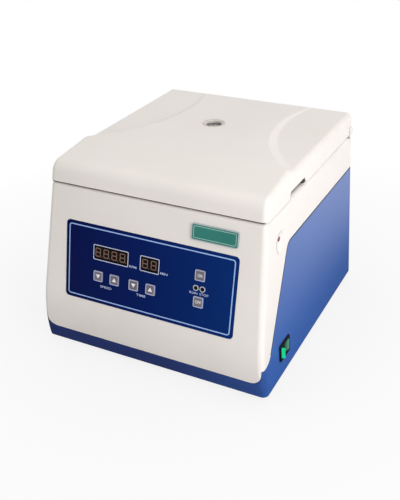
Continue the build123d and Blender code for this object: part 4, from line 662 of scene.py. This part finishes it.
DECK, LID_EDGE, SHADE_STRIP_REACH, SHADE_STRIP_WIDTH = 213.0, 215.0, 118.0, 5.8
# painted shade: dark strips where the gaps under the lid and the notch are in shade
strip("lid_front_shade_strip", (-133.0, -132.4, DECK + 0.3), (133.0, -130.8, LID_EDGE + 0.2), "lid")
for side_name, start in (("left", -130.2), ("right", 124.4)):
    strip("deck_shade_strip_" + side_name, (start, -SHADE_STRIP_REACH, DECK - 0.05),
          (start + SHADE_STRIP_WIDTH, SHADE_STRIP_REACH, DECK + 2.1), "housing", edge=0.6)
strip("notch_shade_block", (127.7, -25.0, LID_EDGE + 0.8), (135.5, -18.0, LID_EDGE + 7.4), "lid")

# %% [markdown]
# ## Dark cord in the joint of the two housings, as painted shade
# The blue and the white moulding meet in a narrow groove, and a dark rubber cord is laid in it as
# painted shade: a dark line where the groove's shadow falls. Its path in side view is a level line
# from the rear, a bend and a long slope down to the front. A square of four points is carried along
# it: extruded down each line, and spun round the bend.
# Every point is then moved out to the drafted side, which leans in by a fixed slope.

# %% Run the cord down both sides
CORD, GROOVE_TOP, STEP_TOP, HALF_GROOVE = 1.7, 168.0, 50.0, 0.35
REAR_Y, STEP_Y, RISE_Y, BEND = 155.0, -143.0, -78.0, 14.0
HALF_WIDTH, FOOT, SIDE_SLOPE, SET_IN = 150.0, 8.0, math.tan(math.radians(3.8)), 0.7
CORD_Z = GROOVE_TOP - HALF_GROOVE
pitch = math.atan2(GROOVE_TOP - STEP_TOP, RISE_Y - STEP_Y)
reach = BEND * math.tan(pitch / 2)
slope = math.hypot(GROOVE_TOP - STEP_TOP, RISE_Y - STEP_Y) - 2 * reach


def run(shape, ends, way):
    moved = bmesh.ops.extrude_face_region(shape, geom=ends)
    bmesh.ops.delete(shape, geom=ends, context="FACES_ONLY")
    bmesh.ops.translate(shape, vec=Vector(way) * MM, verts=newest_points(moved))
    return [g for g in moved["geom"] if isinstance(g, bmesh.types.BMFace)]


def bend(shape, ends, centre, angle):
    turned = bmesh.ops.spin(shape, geom=ends, cent=Vector(centre) * MM, axis=(1, 0, 0), angle=angle, steps=8)
    return [g for g in turned["geom_last"] if isinstance(g, bmesh.types.BMFace)]


for side_name, way in (("left", -1), ("right", 1)):
    cord = bmesh.new()
    square = bmesh.ops.create_grid(cord, x_segments=1, y_segments=1, size=CORD / 2 * MM)["verts"]
    bmesh.ops.rotate(cord, matrix=Matrix.Rotation(math.pi / 2, 3, "X"), verts=square)
    bmesh.ops.translate(cord, vec=Vector((0, REAR_Y, CORD_Z)) * MM, verts=square)
    ends = run(cord, cord.faces[:], (0, RISE_Y + reach - REAR_Y, 0))
    ends = bend(cord, ends, (0, RISE_Y + reach, CORD_Z - BEND), pitch)
    run(cord, ends, (0, -slope * math.cos(pitch), -slope * math.sin(pitch)))
    for vert in cord.verts:
        vert.co.x += way * (HALF_WIDTH - SIDE_SLOPE * (vert.co.z / MM - FOOT) - SET_IN) * MM
    # painted shade: a dark cord along the groove where its shadow falls
    piece("seam_shadow_cord_" + side_name, cord, Matrix.Identity(4), rubber_black, "housing")

# %% [markdown]
# ## Turned shapes
# Lamps and pin caps are round, so each is a profile of points spun about an axis. The spin
# merges its first and last row, and the points on the axis are merged afterwards.

# %% Spin a profile
def lathe(shape, profile, at=(0, 0), steps=32):
    old = set(shape.verts)
    points = [shape.verts.new((radius * MM, 0, height * MM)) for radius, height in profile]
    edges = [shape.edges.new(pair) for pair in zip(points, points[1:])]
    bmesh.ops.spin(shape, geom=points + edges, cent=(0, 0, 0), axis=(0, 0, 1), angle=math.tau,
                   steps=steps, use_merge=True)
    bmesh.ops.remove_doubles(shape, verts=[v for v in shape.verts if v not in old], dist=2e-6)
    fresh = [v for v in shape.verts if v not in old]
    bmesh.ops.translate(shape, vec=(at[0] * MM, at[1] * MM, 0), verts=fresh)


# %% Dome the two lamps
LAMP_ROW = 2.0
DOME_PROFILE = [(2.42, 0.66), (2.4, 0.8), (2.1, 1.05), (1.5, 1.3), (0.8, 1.42), (0.0, 1.46)]
domes = bmesh.new()
for u in (62.2, 70.3):
    lathe(domes, DOME_PROFILE, (u, LAMP_ROW))
piece("lamp_domes", domes, PANEL, lamp_resin, "housing", smooth=True)

# %% [markdown]
# White caps cover the ends of the hinge pins. Each is spun upright, like the lamps, and then laid
# on its side with its dome outwards.

# %% Cap the hinge pins
PIN_END, PIN_Y, PIN_Z = 137.35, 153.0, 219.0
CAP_PROFILE = [(0.0, -1.2), (5.12, -1.2), (5.12, 0.1), (4.7, 0.45), (2.5, 0.6), (0.0, 0.65)]
caps = bmesh.new()
for way in (-1, 1):
    cap = bmesh.new()
    lathe(cap, CAP_PROFILE)
    pour(caps, cap, Matrix.Translation(Vector((way * PIN_END, PIN_Y, PIN_Z)) * MM)
         @ Matrix.Rotation(way * math.pi / 2, 4, "Y"))
piece("hinge_caps", caps, Matrix.Identity(4), abs_white, "lid", smooth=True)

# %% [markdown]
# Inside the lid a raised ring stiffens the flat liner, over the rim of the bowl.

# %% Stiffen the liner
LINER_Z = 218.0
RING_PROFILE = [(88.0, LINER_Z + LAP), (88.3, 216.6), (89.0, 216.2), (92.0, 216.2), (92.7, 216.6),
                (93.0, LINER_Z + LAP), (88.0, LINER_Z + LAP)]
ring = bmesh.new()
lathe(ring, RING_PROFILE, (0, BOWL_Y), steps=96)
piece("liner_ring", ring, Matrix.Identity(4), abs_liner, "lid")

# %% [markdown]
# ## Numbers on the rotor
# The six tube holes of a rotor are numbered, so that tubes of one weight can be put opposite
# each other. The numbers are engraved and filled, and stand between the holes on the cone that
# the holes are drilled in.

# %% Number the tube holes
CONE, MOUTH_RADIUS, MOUTH_Z = math.radians(30.0), 42.0, 178.0
number_ink = ink("engraving_filler", "#33363C", "#2A2D32")
numbers = bmesh.new()
for place in range(6):
    angle = math.radians(30 + 60 * place)
    out = Vector((math.cos(angle), math.sin(angle), 0.0))
    aside = Vector((math.sin(angle), -math.cos(angle), 0.0))
    up = out * math.cos(CONE) + Vector((0, 0, math.sin(CONE)))
    at = Vector((0, BOWL_Y, MOUTH_Z)) + out * MOUTH_RADIUS + up * 6.0
    digit = bmesh.new()
    word(digit, str(place + 1), (0, 0), 3.2 if place else 1.8, 5.4, -LAP, MARK)
    pour(numbers, digit, face_at(at, aside, up))
piece("rotor_numbers", numbers, Matrix.Identity(4), number_ink, "rotor")

# %% [markdown]
# ## Badge
# The badge is a bare enamelled plate with a bright rim and a thin inner line. Both are slim
# frames, which the tile recipe cuts.

# %% Rim the badge
BADGE_AT = (79.7, 65.7)
rim = bmesh.new()
tile(rim, (56.0, 19.0), BADGE_AT, BADGE_TOP - 0.05, BADGE_TOP + 0.35, corner=3.0, border=1.0, steps=6)
piece("badge_rim", rim, PANEL, satin_frame, "housing")
inner = bmesh.new()
tile(inner, (50.6, 13.6), BADGE_AT, BADGE_TOP - 0.05, BADGE_TOP + 0.1, corner=1.6, border=0.5, steps=6)
piece("badge_inner_line", inner, PANEL, badge_line, "housing")
